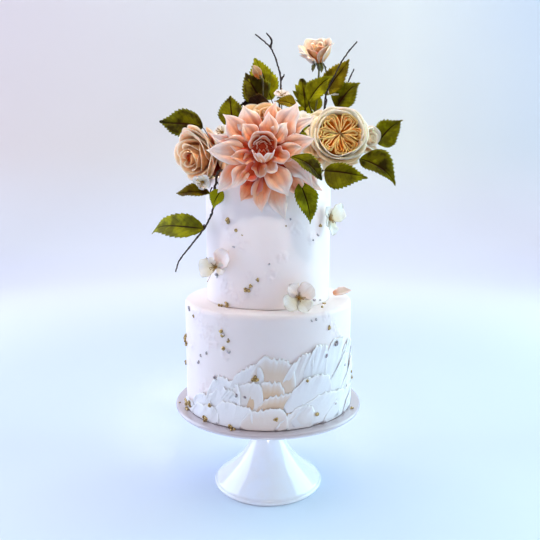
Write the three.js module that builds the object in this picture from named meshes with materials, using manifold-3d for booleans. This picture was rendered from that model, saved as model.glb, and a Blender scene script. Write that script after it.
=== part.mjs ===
// A two-tier wedding cake with sugar flowers, built together with its pedestal stand.
// Millimetres, +Z up, front towards -Y, origin on the surface under the middle of the foot.
import * as THREE from "three";
import { mergeVertices } from "three/addons/utils/BufferGeometryUtils.js";
import Module from "manifold-3d";

const wasm = await Module();
wasm.setup();

// Driving dimensions
const touchGap = 0.3;
const mergeDistance = 1e-3;

const stand = {
  footRadius: 68.5,
  footLip: 6,
  neckRadius: 18,
  neckHeight: 75,
  flareRadius: 36,
  flareHeight: 99,
  plateRadius: 115.5,
  plateTop: 111,
  plateEdge: 5.5,
  wall: 6.5,
  hollowHeight: 56,
  segments: 32,
};
const lowerTier = { radius: 101.6, height: 130.5, edge: 5, segments: 36 };
const upperTier = { radius: 74.5, height: 148, edge: 4, segments: 36 };
const lowerBase = stand.plateTop + touchGap;
const upperBase = lowerBase + lowerTier.height + touchGap;
const cakeTop = upperBase + upperTier.height;
const stemFoot = cakeTop + touchGap;

const ruffle = {
  rows: 3,
  perRow: 3,
  crest: 92,
  crestAtEnds: 22,
  crestAngle: 30,
  reach: 105,
  spread: 84,
  spreadPerRow: 8,
  stagger: 14,
  gap: 0.6,
  lapBelow: 0.25,
  lapAbove: 0.15,
  stand: 6.5,
  waves: 4,
  thickness: 1.4,
};
const petalThickness = 1.5;
const leafThickness = 1.4;
const stalkWidth = 0.9;
const stemRadius = 2;
const stemInset = 1.5;
const wireRadius = 0.9;
const twigRadius = 1.3;
const blossomRise = 24;

const degree = Math.PI / 180;
const up = new THREE.Vector3(0, 0, 1);

// Materials
function finish(color, roughness) {
  return new THREE.MeshStandardMaterial({ color, roughness, metalness: 0 });
}
const glaze = finish(0xf4f6fb, 0.12);
const fondant = finish(0xf3f1f5, 0.6);
const wafer = finish(0xf7f3ef, 0.7);
const coral = finish(0xf0a98f, 0.6);
const peach = finish(0xf3cba6, 0.6);
const apricot = finish(0xf0be85, 0.6);
const blush = finish(0xf4e6dc, 0.6);
const leafGreen = finish(0x6d7d1f, 0.55);
const leafBrown = finish(0x6a4a22, 0.55);
const bark = finish(0x3d322d, 0.8);

// A point given as a list
function at(place) {
  return new THREE.Vector3(...place);
}

// A geometry as a closed solid, without the faces that shrink to an edge at a pole
function toSolid(geometry) {
  const bare = new THREE.BufferGeometry();
  bare.setAttribute("position", geometry.getAttribute("position"));
  bare.setIndex(geometry.getIndex());
  const merged = mergeVertices(bare, mergeDistance);
  const corners = merged.getIndex().array;
  const kept = [];
  for (let i = 0; i < corners.length; i += 3) {
    const [a, b, c] = corners.subarray(i, i + 3);
    if (a !== b && b !== c && c !== a) kept.push(a, b, c);
  }
  const vertProperties = merged.getAttribute("position").array;
  const triVerts = Uint32Array.from(kept);
  return new wasm.Manifold(new wasm.Mesh({ numProp: 3, vertProperties, triVerts }));
}

function toGeometry(solid) {
  const mesh = solid.getMesh();
  const geometry = new THREE.BufferGeometry();
  geometry.setAttribute("position", new THREE.BufferAttribute(mesh.vertProperties, 3));
  geometry.setIndex(new THREE.BufferAttribute(mesh.triVerts, 1));
  geometry.computeVertexNormals();
  return geometry;
}

function join(geometries) {
  const solids = geometries.map(toSolid);
  return toGeometry(solids.reduce((whole, solid) => whole.add(solid)));
}

// A solid turned about the upright axis from its half outline
function turned(outline, segments) {
  const points = outline.map(([radius, height]) => new THREE.Vector2(radius, height));
  return new THREE.LatheGeometry(points, segments).rotateX(Math.PI / 2);
}

// The direction a surface faces at (u, v)
function facing(pointAt, u, v) {
  const step = 0.01;
  const along = pointAt(u + step, v).sub(pointAt(u - step, v));
  const across = pointAt(u, v + step).sub(pointAt(u, v - step));
  return across.cross(along).normalize();
}

// A thin closed sheet about pointAt(u, v), with u from 0 to 1 and v from -1 to 1.
// Its two faces meet at its rim.
function sheet(pointAt, rows, columns, thickness) {
  const positions = [];
  const indices = [];
  const perSide = (rows + 1) * (columns + 1);
  for (const side of [1, -1]) {
    for (let row = 0; row <= rows; row++) {
      for (let column = 0; column <= columns; column++) {
        const u = row / rows;
        const v = (2 * column) / columns - 1;
        const onRim = row === 0 || row === rows || column === 0 || column === columns;
        const offset = onRim ? 0 : (side * thickness) / 2;
        const point = pointAt(u, v).addScaledVector(facing(pointAt, u, v), offset);
        positions.push(point.x, point.y, point.z);
      }
    }
  }
  const addFace = (side, a, b, c) => (side ? indices.push(a, c, b) : indices.push(a, b, c));
  for (const side of [0, 1]) {
    for (let row = 0; row < rows; row++) {
      for (let column = 0; column < columns; column++) {
        const a = side * perSide + row * (columns + 1) + column;
        const b = a + 1;
        const c = a + columns + 1;
        const d = c + 1;
        const fromCorner = row < rows / 2 === column < columns / 2;
        if (fromCorner) {
          addFace(side, a, b, d);
          addFace(side, a, d, c);
        } else {
          addFace(side, a, b, c);
          addFace(side, b, d, c);
        }
      }
    }
  }
  const geometry = new THREE.BufferGeometry();
  geometry.setAttribute("position", new THREE.Float32BufferAttribute(positions, 3));
  geometry.setIndex(indices);
  return geometry;
}

// A round stem or twig along a list of places
function stem(places, radius, steps, sides) {
  const section = new THREE.Shape();
  section.absarc(0, 0, radius, 0, 2 * Math.PI, false);
  return new THREE.ExtrudeGeometry(section, {
    steps,
    curveSegments: sides,
    extrudePath: new THREE.CatmullRomCurve3(places.map(at)),
  });
}

// A ball stretched along the flower's axis, which the petals grow from
function heart(radius, length, height) {
  const ball = new THREE.SphereGeometry(1, 8, 4).rotateX(Math.PI / 2);
  return ball.scale(radius, radius, length / 2).translate(0, 0, height);
}

// How wide a petal or leaf is along its length, as a share of its greatest width
const outlines = {
  pointed: (u) => Math.sin(Math.PI * u ** 0.95) ** 1.15,
  rounded: (u) => Math.min(1, 1.35 * Math.sin(Math.PI * u ** 0.75 * 0.86) ** 0.7),
  leaf: (u) => Math.sin(Math.PI * u ** 0.78) ** 0.85,
};

// A petal that leaves the heart sideways and rises towards the flower's axis
function spreadPetal({ turn, start, base, length, halfWidth, rise, tipRise, cup, outline, rows = 3 }) {
  const pointAt = (u, v) => {
    const bend = rise + (tipRise - rise) * u * 0.5;
    const radius = start + length * u * Math.cos(bend * degree);
    const height = base + length * u * Math.sin(bend * degree);
    const side = halfWidth * outline(Math.min(Math.max(u, 0), 1)) * v;
    const lift = cup * v * v * halfWidth * Math.sin(Math.PI * u);
    const out = radius - lift * Math.sin(bend * degree);
    const point = new THREE.Vector3(out, side, height + lift * Math.cos(bend * degree));
    return point.applyAxisAngle(up, turn);
  };
  return sheet(pointAt, rows, 2, petalThickness);
}

// A petal that wraps round the flower's axis like part of a cup, with its lip rolled out
function wrappedPetal({ turn, span, radius, height, flare, rows = 2, columns = 3 }) {
  const pointAt = (u, v) => {
    const swell = radius * (0.25 + 0.75 * Math.sin((Math.PI / 2) * Math.min(u * 1.15, 1.2)));
    const lip = flare * Math.max(u - 0.6, 0) ** 1.5 * 2.5;
    const angle = turn + (span / 2) * v * (0.7 + 0.3 * Math.sin(Math.PI * u));
    const lower = 0.16 * height * v * v * u;
    const reach = swell + lip + 0.08 * radius * v;
    return new THREE.Vector3(reach * Math.cos(angle), reach * Math.sin(angle), height * u - lower);
  };
  return sheet(pointAt, rows, columns, petalThickness);
}

// The petals of one ring of a flower
function ring(count, turnBy, makePetal) {
  return Array.from({ length: count }, (_, i) => makePetal((2 * Math.PI * (i + turnBy)) / count, i));
}

// Sugar dahlia: rings of pointed petals that stand up more and more towards a closed middle
const dahlia = {
  rings: [
    { count: 8, turnBy: 0.25, base: 0, length: 57, halfWidth: 10.5, rise: 8, tipRise: 20, cup: 0.1 },
    { count: 8, turnBy: 0.75, base: 5, length: 50, halfWidth: 9.5, rise: 23, tipRise: 36, cup: 0.15 },
    { count: 6, turnBy: 0.3, base: 9, length: 37, halfWidth: 7.5, rise: 40, tipRise: 50, cup: 0.2 },
    { count: 5, turnBy: 0, base: 11, length: 24, halfWidth: 6.5, rise: 60, tipRise: 86, cup: 0.3 },
  ],
  start: 4,
  droop: 0.12,
  heart: { radius: 11, length: 22, height: 8 },
};

function dahliaShape() {
  const petals = dahlia.rings.flatMap((row) =>
    ring(row.count, row.turnBy, (turn) => {
      const length = row.length * (1 - dahlia.droop * Math.sin(turn));
      return spreadPetal({ ...row, turn, start: dahlia.start, length, outline: outlines.pointed });
    }),
  );
  const { radius, length, height } = dahlia.heart;
  return [heart(radius, length, height), ...petals];
}

// Sugar rose: cupped petals round a closed bud
function roseShape(radius, depth, { outerCount = 5, middleCount = 4, innerCount = 3 } = {}) {
  const outerSize = { radius: radius * 0.8, height: depth * 0.8, flare: radius * 0.35 };
  const outerPetal = { ...outerSize, span: 8 / outerCount };
  const middleSize = { radius: radius * 0.56, height: depth * 0.92, flare: radius * 0.1 };
  const middlePetal = { ...middleSize, span: 7 / middleCount };
  const innerPetal = { radius: radius * 0.3, height: depth, flare: 0, span: 1.8, columns: 2 };
  return [
    heart(radius * 0.36, depth * 1.05, depth * 0.45),
    ...ring(outerCount, 0.2, (turn) => wrappedPetal({ ...outerPetal, turn })),
    ...ring(middleCount, 0.6, (turn) => wrappedPetal({ ...middlePetal, turn })),
    ...ring(innerCount, 0.1, (turn) => wrappedPetal({ ...innerPetal, turn })),
  ];
}
const smallRose = { outerCount: 4, middleCount: 3, innerCount: 0 };

// Garden rose: a wide cup filled with a disc of petals folded like rays
const gardenRose = {
  radius: 31,
  depth: 30,
  discRadius: 22,
  discDepth: 21,
  discRise: 2,
  folds: 11,
  foldDepth: 2.5,
};

function gardenRoseShape() {
  const { radius, depth, discRadius, discDepth, discRise, folds, foldDepth } = gardenRose;
  const cupPetal = { span: 1.6, radius: radius * 0.86, height: depth, flare: radius * 0.26 };
  const cup = ring(5, 0, (turn) => wrappedPetal({ ...cupPetal, turn }));
  const discHeight = (share) => discDepth + discRise * Math.sin(Math.PI * share);
  const face = [1, 0.7, 0.35, 0].map((share) => [discRadius * share, discHeight(share)]);
  const disc = turned([[0, 0], [discRadius * 0.6, 2], ...face], folds * 2);
  const spots = disc.getAttribute("position");
  for (let i = 0; i < spots.count; i++) {
    const reach = Math.hypot(spots.getX(i), spots.getY(i)) / discRadius;
    const turn = Math.atan2(spots.getY(i), spots.getX(i));
    const onFace = spots.getZ(i) > discDepth && reach > 0.1 && reach < 0.9;
    if (onFace) spots.setZ(i, spots.getZ(i) + foldDepth * Math.cos(folds * turn));
  }
  return [disc, ...cup];
}

// Small open blossom with four round petals
function blossomShape(radius, rise) {
  const petals = ring(4, 0.5, (turn) =>
    spreadPetal({
      turn,
      start: 0.5,
      base: 0,
      length: radius,
      halfWidth: radius * 0.45,
      rise,
      tipRise: rise + 10,
      cup: 0.3,
      rows: 2,
      outline: outlines.rounded,
    }),
  );
  return [new THREE.IcosahedronGeometry(2.8, 0), ...petals];
}

// Half-open bud
function openBudShape(radius, depth) {
  const petal = { span: 1.75, radius: radius * 0.75, height: depth, flare: radius * 0.4 };
  const petals = ring(4, 0, (turn) => wrappedPetal({ ...petal, turn }));
  return [heart(radius * 0.55, depth * 0.95, depth * 0.4), ...petals];
}

// Closed bud, drawn out to a point
function closedBudShape(radius, depth) {
  const shares = [[0, 0], [0.8, 0.15], [1, 0.4], [0.5, 0.75], [0, 1]];
  const outline = shares.map(([across, along]) => [radius * across, depth * along]);
  return [turned(outline, 8)];
}

// Sets a flower on its place, turned so that its own +Z looks along faces, with its stem down to its foot.
// A foot without a height is on top of the cake.
function flower(name, { place, faces, foot, stemBends = [], width = stemRadius }, shape, material) {
  const mesh = new THREE.Mesh(undefined, material);
  mesh.name = name;
  mesh.position.copy(at(place));
  mesh.quaternion.setFromUnitVectors(up, at(faces).normalize());
  mesh.updateMatrixWorld(true);
  const parts = [...shape];
  if (foot) {
    const [x, y, z = stemFoot] = foot;
    const inward = at(place).addScaledVector(at(faces).normalize(), stemInset).toArray();
    const route = [inward, ...stemBends, [x, y, z]];
    const stalk = stem(route, width, 1 + 3 * stemBends.length, 3);
    parts.push(stalk.applyMatrix4(mesh.matrixWorld.clone().invert()));
  }
  mesh.geometry = join(parts);
  return mesh;
}

function blossom(name, { radius, rise = blossomRise, ...seat }) {
  return flower(name, { ...seat, width: wireRadius }, blossomShape(radius, rise), blush);
}

// Leaf on its stalk from root to base, with a blade from base to tip that folds along its midrib and arches
function leaf(name, { root, base, tip, halfWidth, faces = [0, -0.8, 0.6], arch = 0.1, brown = false }) {
  const start = at(base);
  const along = at(tip).sub(start);
  const length = along.length();
  along.normalize();
  const across = along.clone().cross(at(faces)).normalize();
  const face = across.clone().cross(along).normalize();
  const mesh = new THREE.Mesh(undefined, brown ? leafBrown : leafGreen);
  mesh.name = name;
  mesh.position.copy(start);
  mesh.quaternion.setFromRotationMatrix(new THREE.Matrix4().makeBasis(across, along, face));
  mesh.updateMatrixWorld(true);
  const origin = at(root).applyMatrix4(mesh.matrixWorld.clone().invert());
  const rows = 6;
  const stalkShare = 1 / rows;
  const pointAt = (u, v) => {
    if (u < stalkShare) {
      const onStalk = origin.clone().multiplyScalar(1 - u / stalkShare);
      return onStalk.add(new THREE.Vector3(stalkWidth * v, 0, 0));
    }
    const share = Math.min((u - stalkShare) / (1 - stalkShare), 1);
    const width = Math.max(halfWidth * outlines.leaf(share), share < 0.5 ? stalkWidth : 0);
    const bulge = arch * length * Math.sin(Math.PI * share);
    return new THREE.Vector3(width * v, length * share, bulge + 0.28 * Math.abs(v) * width);
  };
  mesh.geometry = toGeometry(toSolid(sheet(pointAt, rows, 2, leafThickness)));
  return mesh;
}

// Twig with its side shoots
function twig(name, routes, radius) {
  const shoots = routes.map((route) => stem(route, radius, Math.ceil(route.length * 1.5), 3));
  const mesh = new THREE.Mesh(join(shoots), bark);
  mesh.name = name;
  return mesh;
}

// How wide the trumpet foot is outside at a height below the neck
function footWidth(height) {
  const share = Math.max(height - stand.footLip, 0) / (stand.neckHeight - stand.footLip);
  return stand.neckRadius + (stand.footRadius - 2.5 - stand.neckRadius) * (1 - share) ** 2;
}

// Pedestal stand: trumpet foot, hollow below, and a flat plate with a rounded rim
function standShape() {
  const { footRadius, footLip, neckRadius, neckHeight, flareRadius, flareHeight } = stand;
  const { plateRadius, plateTop, plateEdge, wall, hollowHeight, segments } = stand;
  const footFace = [footWidth(0) - wall, 0];
  const outline = [footFace, [footRadius - 2, 0], [footRadius, 2]];
  const footSteps = 4;
  for (let i = 0; i <= footSteps; i++) {
    const height = footLip + (i / footSteps) * (neckHeight - footLip);
    outline.push([footWidth(height), height]);
  }
  const flareSteps = 2;
  for (let i = 1; i <= flareSteps; i++) {
    const share = i / flareSteps;
    const rise = (flareHeight - neckHeight) * Math.sqrt(share);
    outline.push([neckRadius + (flareRadius - neckRadius) * share, neckHeight + rise]);
  }
  outline.push([plateRadius - 3, plateTop - plateEdge]);
  outline.push([plateRadius, plateTop - plateEdge / 2]);
  outline.push([plateRadius - 2, plateTop], [0, plateTop], [0, hollowHeight]);
  const hollowSteps = 3;
  for (let i = hollowSteps; i > 0; i--) {
    const height = ((hollowHeight - 2) * i) / hollowSteps;
    outline.push([footWidth(height) - wall, height]);
  }
  outline.push(footFace);
  return turned(outline, segments);
}

// Round tier with a softly rounded top edge
function tierShape({ radius, height, edge, segments }) {
  const outline = [[0, 0], [radius, 0]];
  const edgeSteps = 2;
  for (let i = 0; i <= edgeSteps; i++) {
    const turn = (i / edgeSteps) * (Math.PI / 2);
    outline.push([radius - edge + edge * Math.cos(turn), height - edge + edge * Math.sin(turn)]);
  }
  outline.push([0, height]);
  return turned(outline, segments);
}

// How high the ruffles reach above the plate, by the angle in degrees from the front towards the right
function ruffleCrest(angle) {
  const away = Math.min(Math.abs(angle - ruffle.crestAngle) / ruffle.reach, 1);
  return ruffle.crestAtEnds + (ruffle.crest - ruffle.crestAtEnds) * Math.cos((away * Math.PI) / 2) ** 2;
}

// One frill on the lower tier's side: its foot lies on the icing and its wavy upper edge stands out
function frill(name, row, from, to) {
  const upper = 1 - row / ruffle.rows;
  const lower = 1 - (row + 1) / ruffle.rows;
  const pointAt = (u, v) => {
    const angle = from + (to - from) * u;
    const crest = ruffleCrest(angle);
    const rise = (v + 1) / 2;
    const bottom = Math.max(crest * (lower - ruffle.lapBelow / ruffle.rows), 1.5);
    const height = bottom + (crest * (upper + ruffle.lapAbove / ruffle.rows) - bottom) * rise;
    const wave = Math.sin(u * Math.PI * ruffle.waves + row * 1.7);
    const out = lowerTier.radius + 1.1 + ruffle.stand * rise * rise * (0.75 + 0.25 * wave);
    const turn = (angle - 90) * degree;
    return new THREE.Vector3(out * Math.cos(turn), out * Math.sin(turn), height + 2 * wave * rise);
  };
  const strip = sheet(pointAt, ruffle.waves * 2, 2, ruffle.thickness);
  return body(name, toGeometry(toSolid(strip)), lowerBase, wafer);
}

function frills() {
  const made = [];
  for (let row = 0; row < ruffle.rows; row++) {
    const spread = ruffle.spread + ruffle.spreadPerRow * row;
    const shift = ruffle.stagger * (row % 2 ? 1 : -1);
    const shares = [-1, -1 / 3, 1 / 3, 1];
    const joints = shares.map((share, i) => ruffle.crestAngle + spread * share + (i % 3 ? shift : 0));
    for (let i = 0; i < ruffle.perRow; i++) {
      const name = `ruffle_${row + 1}_${i + 1}`;
      made.push(frill(name, row, joints[i] + ruffle.gap, joints[i + 1] - ruffle.gap));
    }
  }
  return made;
}

function body(name, geometry, height, material) {
  const mesh = new THREE.Mesh(geometry, material);
  mesh.name = name;
  mesh.position.z = height;
  return mesh;
}

// Where each flower sits, which way it looks and where its stem meets the cake
const flowers = {
  dahlia: { place: [-5, -80, 417], faces: [-0.02, -0.99, -0.12], foot: [-5, -46] },
  rose_left: { place: [-69, -8, 414], faces: [-0.62, -0.77, -0.1], foot: [-45, 2] },
  garden_rose: { place: [77, -25, 431], faces: [0.05, -0.97, 0.2], foot: [50, -8] },
  rose_right: { place: [106, -2, 431], faces: [0.7, -0.7, 0.1], foot: [62, 8] },
  rose_rear: { place: [1, -30, 438], faces: [0, -0.55, 0.83], foot: [-2, -28] },
  rose_back: { place: [4, 32, 408], faces: [0.1, 0.75, 0.6], foot: [4, 26] },
  rosebud_top: {
    place: [58, -12, 517],
    faces: [-0.15, -0.5, 0.85],
    foot: [44, 2],
    stemBends: [[58, -8, 500], [55, -4, 460]],
  },
  rosebud_left: { place: [-9, -12, 500], faces: [-0.2, -0.5, 0.85] },
};
const flowerShapes = {
  dahlia: [dahliaShape(), coral],
  rose_left: [roseShape(31, 36), peach],
  garden_rose: [gardenRoseShape(), apricot],
  rose_right: [roseShape(18, 22, smallRose), peach],
  rose_rear: [roseShape(28, 28, smallRose), peach],
  rose_back: [roseShape(24, 26, smallRose), peach],
  rosebud_top: [openBudShape(19, 24), peach],
  rosebud_left: [closedBudShape(6, 17), peach],
};

// Pale blossoms among the flowers and on the tiers' sides
const blossoms = {
  filler_left: { place: [-50, -52, 437], faces: [-0.3, -0.8, 0.5], foot: [-28, -30], radius: 10 },
  filler_under_rose: { place: [-72, -55, 384], faces: [-0.4, -0.8, -0.2], foot: [-48, -36], radius: 12 },
  filler_middle: { place: [38, -52, 450], faces: [0.1, -0.8, 0.5], foot: [28, -24], radius: 11 },
  filler_rear: { place: [16, -3, 482], faces: [0, -0.6, 0.8], foot: [16, 2], radius: 13 },
  filler_right: { place: [83, 9, 489], faces: [0.1, -0.6, 0.8], foot: [70, 12], radius: 13 },
  filler_back: { place: [-46, 8, 412], faces: [-0.5, 0.5, 0.7], foot: [-38, 6], radius: 14 },
  side_blossom_left: {
    place: [-59, -55, 288],
    faces: [-0.5, -0.86, 0.1],
    foot: [-55, -51.2, 287],
    radius: 20,
    rise: 12,
  },
  side_blossom_front: {
    place: [36, -77, 258],
    faces: [0.3, -0.9, 0.3],
    foot: [31.9, -67.9, 257],
    radius: 17,
    rise: 14,
  },
  side_blossom_right: {
    place: [70, -39, 341],
    faces: [0.75, -0.66, 0.1],
    foot: [65.5, -36.6, 340],
    radius: 19,
    rise: 14,
  },
};

const leaves = {
  leaf_left: { root: [-50, -4, 398], base: [-76, -6, 442], tip: [-128, -2, 448], halfWidth: 15 },
  leaf_upper_left: { root: [-30, -14, 394], base: [-36, -22, 447], tip: [-43, -12, 480], halfWidth: 13 },
  leaf_crown_right: {
    root: [11, 13, 456],
    base: [3, -4, 477],
    tip: [-15, 0, 526],
    halfWidth: 18,
    arch: 0.06,
  },
  leaf_crown_left: {
    root: [11, 18, 452],
    base: [-3, 8, 477],
    tip: [-33, 12, 504],
    halfWidth: 17,
    brown: true,
  },
  leaf_maroon: {
    root: [10, 13, 448],
    base: [3, -16, 468],
    tip: [-34, -14, 470],
    halfWidth: 11,
    faces: [0, -0.85, 0.5],
    brown: true,
  },
  leaf_olive: {
    root: [41, -2, 440],
    base: [33, -24, 467],
    tip: [7, -22, 474],
    halfWidth: 9,
    faces: [0, -0.7, 0.7],
    brown: true,
  },
  leaf_jagged: { root: [48, -6, 446], base: [43, -14, 466], tip: [38, -11, 500], halfWidth: 10 },
  leaf_slant: { root: [51, -4, 462], base: [46, -24, 473], tip: [70, -28, 502], halfWidth: 11 },
  leaf_small: { root: [54, 2, 450], base: [54, -3, 464], tip: [60, -2, 483], halfWidth: 7 },
  leaf_autumn: { root: [66, 3, 462], base: [67, 2, 482], tip: [95, -2, 522], halfWidth: 13, brown: true },
  leaf_upper_right: { root: [66, 6, 455], base: [80, 1, 468], tip: [105, 0, 498], halfWidth: 16 },
  leaf_right: { root: [92, 8, 424], base: [130, 5, 427], tip: [152, -6, 455], halfWidth: 17 },
  leaf_right_low: {
    root: [70, -18, 402],
    base: [103, -41, 409],
    tip: [143, -62, 385],
    halfWidth: 14,
    faces: [0.1, -0.7, 0.7],
  },
  leaf_under_rose: {
    root: [44, -48, 396],
    base: [63, -62, 401],
    tip: [106, -80, 391],
    halfWidth: 13,
    faces: [0.1, -0.8, 0.6],
  },
  leaf_curled: {
    root: [14, -66, 398],
    base: [25, -94, 412],
    tip: [57, -98, 391],
    halfWidth: 9,
    faces: [0.2, -0.6, 0.8],
    arch: 0.16,
  },
  leaf_hanging: {
    root: [30, -58, 394],
    base: [34, -80, 384],
    tip: [47, -84, 340],
    halfWidth: 12,
    faces: [0.3, -0.95, 0.1],
  },
  leaf_brown: {
    root: [-62, -57, 378],
    base: [-65, -55, 371],
    tip: [-106, -42, 369],
    halfWidth: 8,
    brown: true,
  },
  leaf_bract: {
    root: [-56, -62, 384],
    base: [-51, -64, 376],
    tip: [-62, -63, 356],
    halfWidth: 8,
    faces: [-0.2, -0.95, 0.1],
  },
  leaf_low_left: {
    root: [-70, -54, 342],
    base: [-75, -47, 336],
    tip: [-149, 25, 325],
    halfWidth: 14,
    faces: [-0.4, -0.7, 0.6],
  },
  leaf_back_left: {
    root: [-22, 20, 394],
    base: [-38, 36, 410],
    tip: [-82, 66, 426],
    halfWidth: 16,
    faces: [0, 0.3, 0.95],
  },
  leaf_back_low: {
    root: [-8, 40, 394],
    base: [-16, 58, 400],
    tip: [-30, 106, 392],
    halfWidth: 15,
    faces: [0, 0.3, 0.95],
  },
  leaf_back_right: {
    root: [30, 20, 394],
    base: [46, 34, 408],
    tip: [88, 62, 420],
    halfWidth: 16,
    faces: [0, 0.3, 0.95],
  },
  leaf_back_side: {
    root: [36, 28, 394],
    base: [44, 54, 400],
    tip: [58, 98, 388],
    halfWidth: 14,
    faces: [0.2, 0.3, 0.9],
  },
  leaf_back_high: {
    root: [-14, 10, 394],
    base: [-18, 18, 424],
    tip: [-30, 40, 476],
    halfWidth: 15,
    faces: [-0.2, 0.9, 0.4],
  },
  leaf_back_tall: {
    root: [36, 12, 394],
    base: [38, 22, 434],
    tip: [48, 44, 486],
    halfWidth: 15,
    faces: [0.2, 0.9, 0.4],
  },
};

const twigs = {
  twig_tall: [
    [
      [8, 16, stemFoot],
      [13, 16, 440],
      [14, 15, 479],
      [15, 14, 500],
      [11, 13, 519],
      [2, 12, 538],
      [-15, 12, 552],
    ],
    [[3, 12, 537], [4, 12, 545], [-2, 10, 553]],
    [[15, 14, 500], [19, 12, 507]],
  ],
  twig_right: [
    [[52, 14, stemFoot], [62, 8, 445], [67, -4, 472], [68, -10, 486], [85, -12, 520], [101, -10, 540]],
  ],
  twig_small: [[[58, 20, stemFoot], [82, 20, 450], [95, 20, 497], [102, 20, 514]]],
  twig_hanging: [
    [
      [-42, -38, stemFoot],
      [-54, -54, 396],
      [-59, -58, 376],
      [-61, -57, 355],
      [-70, -51, 335],
      [-87, -44, 313],
      [-102, -42, 294],
      [-107, -42, 280],
    ],
  ],
};

// One coral petal lying on the lower tier's ledge
const ledgePetal = {
  seat: { place: [79, -14, 247], faces: [0.15, -0.4, 0.9] },
  petal: { turn: 0.35, start: 0, base: 0, length: 24, halfWidth: 7, rise: 8, tipRise: 14, cup: 0.5 },
};

function ledgePetalMesh() {
  const { seat, petal } = ledgePetal;
  return flower("ledge_petal", seat, [spreadPetal({ ...petal, outline: outlines.rounded })], coral);
}

// A piece gives way to the pieces placed before it: it is cut back where they touch, with a gap
function giveWay(mesh, earlier) {
  mesh.updateMatrixWorld(true);
  let solid = toSolid(mesh.geometry.clone().applyMatrix4(mesh.matrixWorld));
  const box = new THREE.Box3().setFromObject(mesh).expandByScalar(touchGap);
  const near = earlier.filter((other) => other.box.intersectsBox(box));
  const shifts = [[0, 0, 0], ...[-touchGap, touchGap].flatMap((d) => [[d, 0, 0], [0, d, 0], [0, 0, d]])];
  const touches = (cutter, shift) => cutter.translate(shift).intersect(solid).volume() > 0;
  const cutters = near.filter((other) => shifts.some((shift) => touches(other.solid, shift)));
  for (const cutter of cutters) {
    for (const shift of shifts) solid = solid.subtract(cutter.solid.translate(shift));
  }
  if (cutters.length) {
    const pieces = solid.decompose().sort((a, b) => b.volume() - a.volume());
    solid = pieces[0];
    mesh.geometry = toGeometry(solid).applyMatrix4(mesh.matrixWorld.clone().invert());
  }
  earlier.push({ solid, box: new THREE.Box3().setFromObject(mesh) });
}

const cake = new THREE.Group();
cake.add(
  body("cake_stand", standShape(), 0, glaze),
  body("lower_tier", tierShape(lowerTier), lowerBase, fondant),
  body("upper_tier", tierShape(upperTier), upperBase, fondant),
  ...Object.entries(flowers).map(([name, seat]) => flower(name, seat, ...flowerShapes[name])),
  ...Object.entries(twigs).map(([name, routes]) => twig(name, routes, twigRadius)),
  ...Object.entries(leaves).map(([name, seat]) => leaf(name, seat)),
  ...Object.entries(blossoms).map(([name, seat]) => blossom(name, seat)),
  ledgePetalMesh(),
  ...frills(),
);
const placed = [];
for (const mesh of cake.children) giveWay(mesh, placed);

export default cake;
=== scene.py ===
import math

import bmesh
import bpy
import numpy as np
from mathutils import Matrix, Vector


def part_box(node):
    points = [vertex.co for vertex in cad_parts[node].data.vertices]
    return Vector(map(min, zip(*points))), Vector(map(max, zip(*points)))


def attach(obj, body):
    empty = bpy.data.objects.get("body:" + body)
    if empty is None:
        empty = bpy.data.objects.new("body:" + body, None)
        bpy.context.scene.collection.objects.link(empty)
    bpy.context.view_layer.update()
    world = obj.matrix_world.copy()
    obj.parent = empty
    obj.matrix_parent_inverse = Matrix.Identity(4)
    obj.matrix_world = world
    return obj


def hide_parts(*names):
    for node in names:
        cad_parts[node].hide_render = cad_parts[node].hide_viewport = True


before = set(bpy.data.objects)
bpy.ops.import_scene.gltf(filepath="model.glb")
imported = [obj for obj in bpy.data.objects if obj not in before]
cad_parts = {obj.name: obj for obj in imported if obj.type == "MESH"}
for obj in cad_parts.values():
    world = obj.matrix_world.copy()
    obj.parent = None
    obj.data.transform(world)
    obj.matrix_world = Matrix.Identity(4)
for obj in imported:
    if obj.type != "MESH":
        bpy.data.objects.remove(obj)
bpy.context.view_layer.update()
mm = 0.001
fullTurn = 2 * math.pi
root = "root"


def paint(red, green, blue):
    # a colour as read off a screen, 0 to 255, as the light values that shaders take
    shares = [channel / 255 for channel in (red, green, blue)]
    return tuple(s / 12.92 if s <= 0.04045 else ((s + 0.055) / 1.055) ** 2.4 for s in shares) + (1.0,)


def addNode(tree, kind, values=None, **settings):
    # a node with its settings, its values, and its links where a value is another node's socket
    made = tree.nodes.new(kind)
    for name, value in settings.items():
        setattr(made, name, value)
    for key, value in (values or {}).items():
        if isinstance(value, bpy.types.NodeSocket):
            tree.links.new(value, made.inputs[key])
        else:
            made.inputs[key].default_value = value
    return made


def linkedNode(kind, values, **settings):
    # a node in the tree that its values come from
    tree = next(value.id_data for value in values.values() if isinstance(value, bpy.types.NodeSocket))
    return addNode(tree, kind, values, **settings)


def mathNode(operation, *values, clamp=False):
    values = dict(enumerate(values))
    return linkedNode("ShaderNodeMath", values, operation=operation, use_clamp=clamp).outputs[0]


def plus(first, second):
    return mathNode("ADD", first, second)


def minus(first, second, clamp=False):
    return mathNode("SUBTRACT", first, second, clamp=clamp)


def times(first, second, clamp=False):
    return mathNode("MULTIPLY", first, second, clamp=clamp)


def scaled(value, factor, offset):
    # the value times the factor, plus the offset
    return mathNode("MULTIPLY_ADD", value, factor, offset)


def remap(value, low, high, start=0.0, end=1.0, smooth=False):
    # goes from start to end while the value goes from low to high
    ends = {0: value, 1: low, 2: high, 3: start, 4: end}
    way = "SMOOTHSTEP" if smooth else "LINEAR"
    return linkedNode("ShaderNodeMapRange", ends, interpolation_type=way).outputs[0]


def noise(place, scale, detail):
    values = {"Vector": place, "Scale": scale, "Detail": detail}
    return linkedNode("ShaderNodeTexNoise", values).outputs[0]


def axes(vector):
    return linkedNode("ShaderNodeSeparateXYZ", {0: vector}).outputs


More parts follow.
